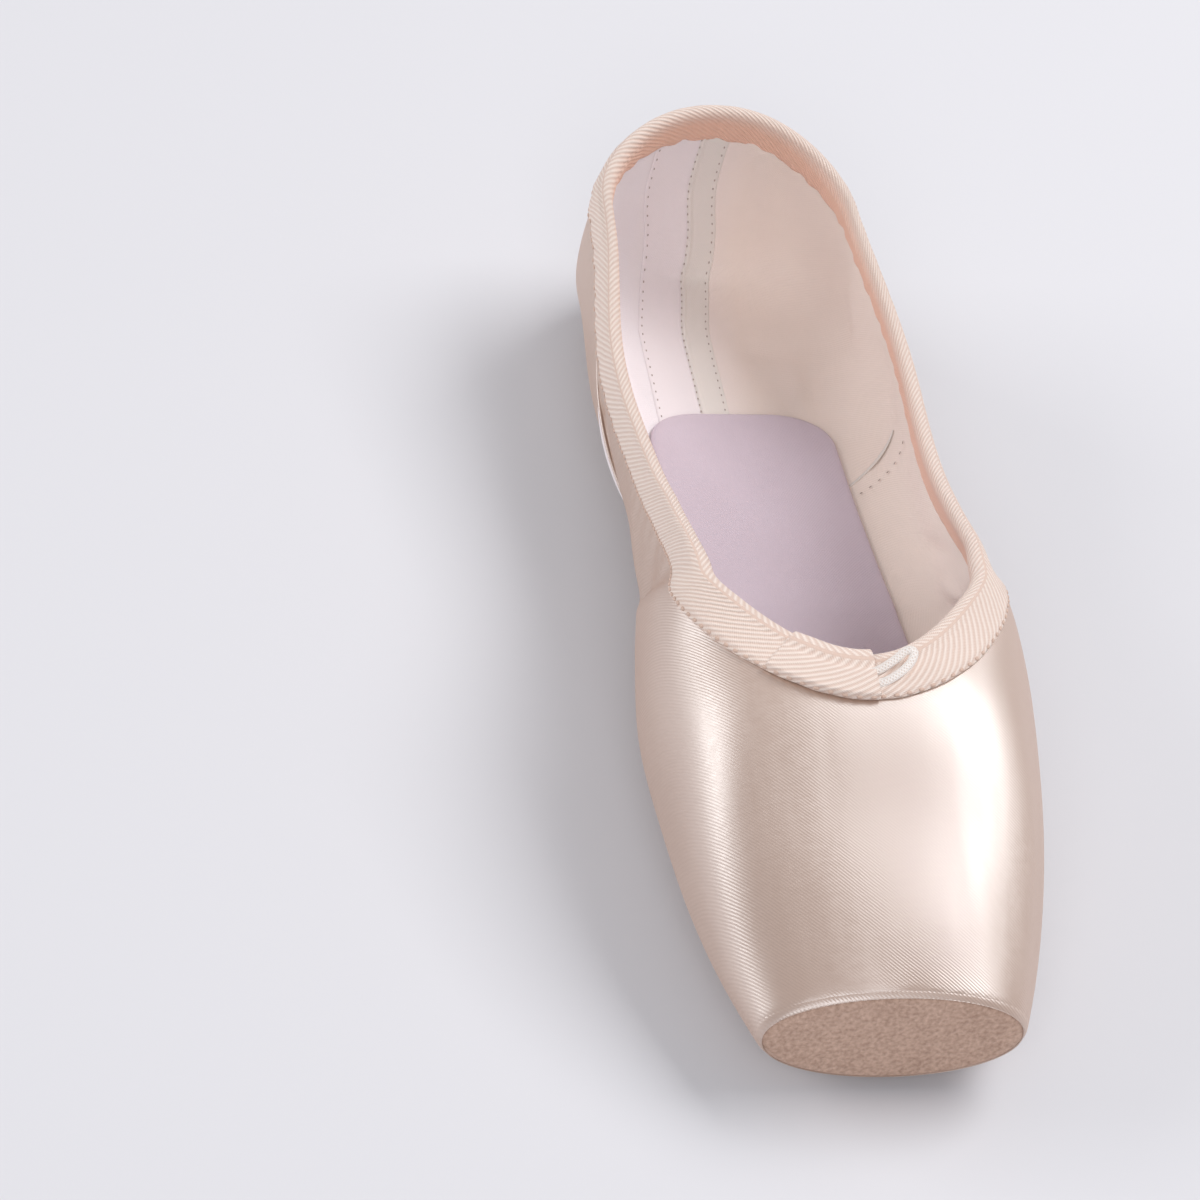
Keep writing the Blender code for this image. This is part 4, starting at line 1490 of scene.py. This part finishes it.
@dataclass(frozen=True)
class BackStrip:
    """The cloth strip over the lining's back seam: it runs down the heel and on along the floor,
    with the seam in its middle and a row of stitches near each edge."""

    low: float = -0.0098
    high: float = 0.0062
    base: float = 0.00004
    cloth: float = 0.00022
    lip: Tuple[float, float, float] = (0.00028, 0.0006, 0.0005)
    groove: Tuple[float, float] = (0.00026, 0.00022)
    pivot: Tuple[float, float] = (0.190, 0.025)
    stitch_length: float = 0.0006
    stitch_thick: float = 0.6
    # angle of the ray from the pivot, sideways place of the seam
    table: Tuple[Tuple[float, float], ...] = (
        (-126.0, -0.0062), (-109.0, -0.0059), (-84.6, -0.0055), (-58.0, -0.0051),
        (-40.0, -0.0045), (-30.0, -0.0012), (-16.4, -0.0003), (0.0, -0.0026), (11.6, -0.0026),
        (26.0, -0.0018),
    )
    # name, place beside the seam, pitch
    rows: Tuple[Tuple[str, float, float], ...] = (
        ("strip_stitches_left", -0.0090, 0.0028), ("strip_stitches_right", 0.0054, 0.0025),
        ("seam_stitches", 0.0001, 0.0022),
    )

    def grid(self, beside: Array, off: Array) -> Array:
        """Places on the lining: rays from the pivot's line at each angle, moved sideways.

        Args:
            beside: the places beside the seam.
            off: how far each stands off the lining.

        Returns:
            The grid (angles, places, 3) in x, t, z.
        """
        table = np.array(self.table)
        angle = np.linspace(table[0, 0], table[-1, 0], 150)
        seam = np.convolve(np.interp(np.pad(angle, 8, "edge"), table[:, 0], table[:, 1]),
                           np.full(17, 1 / 17), "valid")
        turn = np.radians(angle)[:, None] + 0 * beside[None]
        start = np.stack([seam[:, None] + beside[None], 0 * turn + self.pivot[0],
                          0 * turn + self.pivot[1]], -1)
        way = np.stack([0 * turn, np.cos(turn), np.sin(turn)], -1)
        return LAST.cast(start, way, lowered(LAST.inside, off[None]))

    def build(self, cloth: Finish, thread: Finish) -> List[Piece]:
        """The strip with its lips along the seam, and its rows of stitches.

        Args:
            cloth: the strip's material.
            thread: the stitches' material.

        Returns:
            The pieces.
        """
        beside = np.linspace(self.low, self.high, 66)
        edge = np.minimum(beside - self.low, self.high - beside)
        lip, middle, width = self.lip
        groove, narrow = self.groove
        off = self.base + self.cloth * smooth(0.0, 0.0003, edge)
        off = off + lip * bell(beside, middle, width) - groove * bell(beside, 0.0, narrow)
        points = self.grid(beside, off)
        run = np.linspace(0, 0.085, len(points))[:, None]
        uv = np.stack(np.broadcast_arrays(beside[None], run), -1)
        facing = np.array([0.0, *self.pivot]) - points
        piece = surface("seam_strip", LAST.to_world(points), uv, cloth, facing)
        return [fitted(piece, "satin")] + [self.stitches(*row, thread) for row in self.rows]

    def stitches(self, name: str, middle: float, pitch: float, thread: Finish) -> Piece:
        """A row of stitches at a place beside the seam.

        Args:
            name: the object's name.
            middle: the place.
            pitch: the distance between stitches.
            thread: the material.

        Returns:
            The row.
        """
        line, beside = (LAST.to_world(points) for points in self.grid(
            np.array([middle, middle + 0.0004]),
            np.full(2, self.base + self.cloth)).transpose(1, 0, 2))
        run = lengths(line)
        at = np.arange(pitch, run[-1], pitch)
        centre = read_off(at, run, line)
        ahead = read_off(at + 0.0003, run, line) - centre
        side = read_off(at, run, beside) - centre
        return stitch_row(name, centre, ahead, side, self.stitch_length, thread, "satin",
                          self.stitch_thick, True)


def mirrored(places: Tuple[Place, ...]) -> Tuple[Place, ...]:
    """The places on the other side of the shoe."""
    return tuple((-x, t, z) for x, t, z in places)


SIDE_SEAM = ((0.0335, 0.1755, 0.0265), (0.0330, 0.1665, 0.0215), (0.0326, 0.1580, 0.0178),
             (0.0316, 0.1500, 0.0146), (0.0305, 0.1440, 0.0120), (0.0240, 0.1375, 0.0040))
BACK_SEAM = ((0.0, 0.231, 0.044), (0.0, 0.232, 0.030), (0.0, 0.231, 0.015), (0.0, 0.226, 0.006))
INNER_SEAM = ((0.0303, 0.1657, 0.0162), (0.0250, 0.1600, 0.0115), (0.0190, 0.1552, 0.0088))
EDGE_ROW = ((0.0307, 0.1592, 0.0202), (0.0262, 0.1555, 0.0135), (0.0209, 0.1523, 0.0095))
OUTER_SEAMS = (
    Seam("left_side_seam", Side.OUTER, mirrored(SIDE_SEAM)),
    Seam("right_side_seam", Side.OUTER, SIDE_SEAM),
    Seam("back_seam", Side.OUTER, BACK_SEAM, 0.0006, 0.0003),
)
RAW_EDGE = Seam("raw_edge", Side.OUTER, mirrored(SIDE_SEAM[1:5]), 0.0003, 0.0007)
RIGHT_SEAM = Seam("right_inner_seam", Side.INNER, INNER_SEAM, 0.0005, 0.0003)
STITCHED_ROWS = (
    Seam("right_edge_stitches", Side.INNER, EDGE_ROW),
    Seam("left_seam_stitches", Side.INNER, mirrored(INNER_SEAM)),
)
DOT_PITCH = 0.0024


@dataclass
class Slab:
    """A flat piece under or in the shoe: its outline shrinks evenly to a middle line, and its rim
    is rounded."""

    name: str
    node: str
    slot: str
    start: float
    end: float
    thickness: float
    half_width: Callable[[Array], Array]
    bed: Face
    around: int = 260
    rings: int = 34
    middle_level: float = 0.020
    spread: Tuple[float, float] = (0.02, 0.014)

    def build(self, finish: Finish) -> Piece:
        """The slab: top and bottom are rings from the middle line to the rim and back.

        Args:
            finish: the material.

        Returns:
            The slab.
        """
        turn = np.linspace(0, 2 * math.pi, self.around, endpoint=False)
        t_rim = self.start + (self.end - self.start) * (1 - np.cos(turn)) / 2
        x_rim = np.sign(np.sin(turn)) * self.half_width(t_rim)
        centre = np.clip(t_rim, self.start + self.spread[0], self.end - self.spread[1])
        share = np.r_[np.linspace(0.0, 0.93, self.rings), 0.96, 0.98, 0.993, 1.0]
        share = np.r_[share, share[::-1]]
        rounding = np.r_[np.zeros(self.rings), 0.06, 0.16, 0.3, 0.48]
        rounding = np.r_[rounding, 1 - rounding[::-1]]
        x = share[:, None] * x_rim[None]
        t = centre[None] + share[:, None] * (t_rim - centre)[None]
        middle = np.stack([x, t, np.full(x.shape, self.middle_level)], -1)
        down = np.broadcast_to(np.array([0.0, 0.0, -1.0]), middle.shape)
        top = LAST.cast(middle, down, self.bed)[..., 2]
        low = np.maximum(top - self.thickness, 0.0)
        z = top + (low - top) * rounding[:, None]
        grid = np.stack([x, t, z], -1)
        uv = np.stack([x, t], -1)
        uv = np.concatenate([uv, uv[:, :1]], axis=1)
        facing = np.zeros(grid.shape)
        facing[:self.rings, :, 2] = 1.0
        facing[-self.rings:, :, 2] = -1.0
        piece = surface(self.name, LAST.to_world(grid), uv, finish, facing, True)
        return fitted(piece, self.slot, self.node)


@dataclass
class Soles:
    """The leather sole under the shoe and the sock in it."""

    tip: float = 0.018
    end_gap: float = 0.010
    ball: float = 0.052
    waist: float = 0.029
    heel: float = 0.039
    sock_tip: float = 0.030
    sock_end: float = 0.181
    sock_ball: float = 0.048
    sock_heel: float = 0.0392
    sock_corner: float = 0.013
    sock_taper: Tuple[float, float] = (0.3, 0.55)
    sock_thickness: float = 0.0012
    # station, shares of half the ball's, the waist's and the heel's width
    table: Tuple[Tuple[float, ...], ...] = (
        (0.00, 0.64, 0.0, 0.0), (0.12, 0.86, 0.0, 0.0), (0.28, 1.00, 0.0, 0.0),
        (0.44, 0.50, 0.62, 0.0), (0.60, 0.0, 1.0, 0.0), (0.76, 0.0, 0.20, 0.78),
        (0.90, 0.0, 0.0, 1.0), (1.00, 0.0, 0.0, 0.90),
    )

    def sole_half(self, t: Array) -> Array:
        """The sole's half width, rounded off at both ends as quarters of an ellipse.

        Args:
            t: places along the last.

        Returns:
            The half width there.
        """
        table = np.array(self.table)
        end = LAST.length - self.end_gap
        curve = natural_cubic(table[:, 0], (table[:, 1] * self.ball + table[:, 2] * self.waist
                                            + table[:, 3] * self.heel) / 2)
        half = curve(np.clip((t - self.tip) / (end - self.tip), 0, 1))
        tip = np.clip((t - self.tip) / half, 0, 1)
        tail = np.clip((end - t) / half, 0, 1)
        return half * np.sqrt(1 - (1 - tip) ** 2) * np.sqrt(1 - (1 - tail) ** 2)

    def sock_half(self, t: Array) -> Array:
        """The sock's half width, with a round tip and a square end round at its corners.

        Args:
            t: places along the last.

        Returns:
            The half width there.
        """
        share = np.clip((t - self.sock_tip) / (self.sock_end - self.sock_tip), 0, 1)
        start, span = self.sock_taper
        ball = 0.5 * (1 + np.cos(math.pi * np.clip((share - start) / span, 0, 1)))
        half = (self.sock_heel + (self.sock_ball - self.sock_heel) * ball) / 2
        tip = np.clip((t - self.sock_tip) / (self.sock_ball / 2), 0, 1)
        corner = np.clip((t - self.sock_end) / self.sock_corner + 1, 0, 1)
        return (half * np.sqrt(1 - (1 - tip) ** 2)
                - self.sock_corner * (1 - np.sqrt(1 - corner ** 2)))

    def build(self, leather: Finish, sock: Finish) -> List[Piece]:
        """The sole and the sock.

        Args:
            leather: the sole's material.
            sock: the sock's material.

        Returns:
            Both slabs.
        """
        sole = Slab("leather_sole", "outsole", "leather", self.tip, LAST.length - self.end_gap,
                    LAST.sole_thickness, self.sole_half,
                    lowered(LAST.outside, -LAST.clearance))
        inner = Slab("sock", "insole", "sock", self.sock_tip, self.sock_end,
                     self.sock_thickness, self.sock_half,
                     lowered(LAST.inside, LAST.clearance + self.sock_thickness))
        return [sole.build(leather), inner.build(sock)]


@dataclass
class Studio:
    """The floor, the soft lights and the camera."""

    azimuth: float = -17.05
    elevation: float = 42.38
    roll: float = 11.91
    distance: float = 0.97206
    target: Place = (0.0, -0.006, 0.025)
    focal: float = 4898.8
    offset: Tuple[float, float] = (210.25, 16.25)
    frame: float = 1200.0
    sensor: float = 36.0
    aim: Place = (0.0, -0.03, 0.02)
    # name, place, size, power, colour
    lamps: Tuple[Tuple[str, Place, Tuple[float, float], float, Colour], ...] = (
        ("left_box", (-1.90, 0.72, 0.84), (1.4, 1.2), 18.5, (1.0, 0.985, 0.98)),
        ("right_box", (1.17, 0.46, 1.54), (1.4, 0.98), 28.0, (1.0, 0.99, 0.99)),
        ("front_box", (-0.50, -1.90, 1.60), (1.6, 1.2), 16.0, (1.0, 0.99, 1.0)),
    )
    floor_colour: Colour = (0.70, 0.70, 0.73)
    sky_colour: Colour = (0.93, 0.93, 0.97)
    sky_strength: float = 0.41

    def camera(self) -> None:
        """The camera at the photograph's place, turned so that the shoe falls where it does."""
        a, e, r = (math.radians(v) for v in (self.azimuth, self.elevation, self.roll))
        back = np.array([math.sin(a) * math.cos(e), -math.cos(a) * math.cos(e), math.sin(e)])
        right = np.array([math.cos(a), math.sin(a), 0.0])
        up = np.cross(back, right)
        place = np.array(self.target) + back * self.distance
        side = math.cos(r) * right + math.sin(r) * up
        top = -math.sin(r) * right + math.cos(r) * up
        ahead = unit(-back - side * self.offset[0] / self.focal
                     - top * self.offset[1] / self.focal)
        side = unit(side - ahead * (side @ ahead))
        top = np.cross(side, ahead)
        data = bpy.data.cameras.new("camera")
        data.sensor_width = self.sensor
        data.lens = self.sensor * self.focal / self.frame
        data.clip_start, data.clip_end = 0.05, 20.0
        item = bpy.data.objects.new("camera", data)
        turn = Matrix(np.stack([side, top, -ahead], 1).tolist()).to_4x4()
        item.matrix_world = Matrix.Translation(place.tolist()) @ turn
        bpy.context.scene.collection.objects.link(item)
        bpy.context.scene.camera = item

    def light(self, name: str, place: Place, size: Tuple[float, float], power: float,
              colour: Colour) -> None:
        """One rectangular soft light that looks at the shoe.

        Args:
            name: its name.
            place: its place.
            size: its sides.
            power: its power in watts.
            colour: its colour.
        """
        data = bpy.data.lights.new(name, "AREA")
        data.shape = "RECTANGLE"
        data.size, data.size_y = size
        data.energy = power
        data.color = colour
        item = bpy.data.objects.new(name, data)
        back = unit(np.array(place) - np.array(self.aim))
        right = unit(np.cross([0.0, 0.0, 1.0], back))
        turn = Matrix(np.stack([right, np.cross(back, right), back], 1).tolist()).to_4x4()
        item.matrix_world = Matrix.Translation(place) @ turn
        bpy.context.scene.collection.objects.link(item)

    def floor(self) -> Piece:
        """A pale floor, a flat sheet just under the shoe.

        Returns:
            The floor.
        """
        finish = Graph("floor").dress({"Base Color": (*self.floor_colour, 1.0),
                                       "Roughness": 0.75})
        span = np.linspace(-3, 3, 13)
        x, y = np.meshgrid(span, span)
        points = np.stack([x, y, 0 * x - 0.0001], -1)
        piece = surface("floor", points, points[..., :2], finish,
                        np.zeros(points.shape) + np.array([0, 0, 1.0]))
        return piece

    def build(self) -> None:
        """Camera, floor, lights and sky."""
        self.camera()
        self.floor()
        for lamp in self.lamps:
            self.light(*lamp)
        world = bpy.data.worlds.new("studio")
        world.use_nodes = True
        sky = world.node_tree.nodes["Background"]
        sky.inputs["Color"].default_value = (*self.sky_colour, 1.0)
        sky.inputs["Strength"].default_value = self.sky_strength
        bpy.context.scene.world = world
        bpy.context.scene.view_settings.view_transform = "Standard"


def main() -> None:
    """Builds the studio and the shoe in order and reports each piece."""
    logging.basicConfig(level=logging.INFO, format="%(name)s: %(message)s")
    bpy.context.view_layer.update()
    Studio().build()
    satin = Satin().make()
    lining, strip, sock = LINING.make(), SEAM_TAPE.make(), SOCK_CLOTH.make()
    tape = Tape().make()
    suede, leather = SUEDE.make(), SOLE_LEATHER.make()
    pieces = Upper().build(satin, lining)
    pieces += Platform().build(suede, satin)
    pieces += Binding().build(tape, Thread().make(), Elastic().make())
    pieces += Soles().build(leather, sock)
    dark = DARK_THREAD.make()
    pieces += BackStrip().build(strip, dark)
    pieces += [seam.build(satin) for seam in OUTER_SEAMS]
    pieces.append(RAW_EDGE.build(lining))
    pieces += [row.dots(DOT_PITCH, dark) for row in STITCHED_ROWS]
    pieces.append(RIGHT_SEAM.build(strip))
    for piece in pieces:
        LOG.info("%s: %d faces", piece.name, len(piece.data.polygons))


if __name__ == "__main__":
    main()
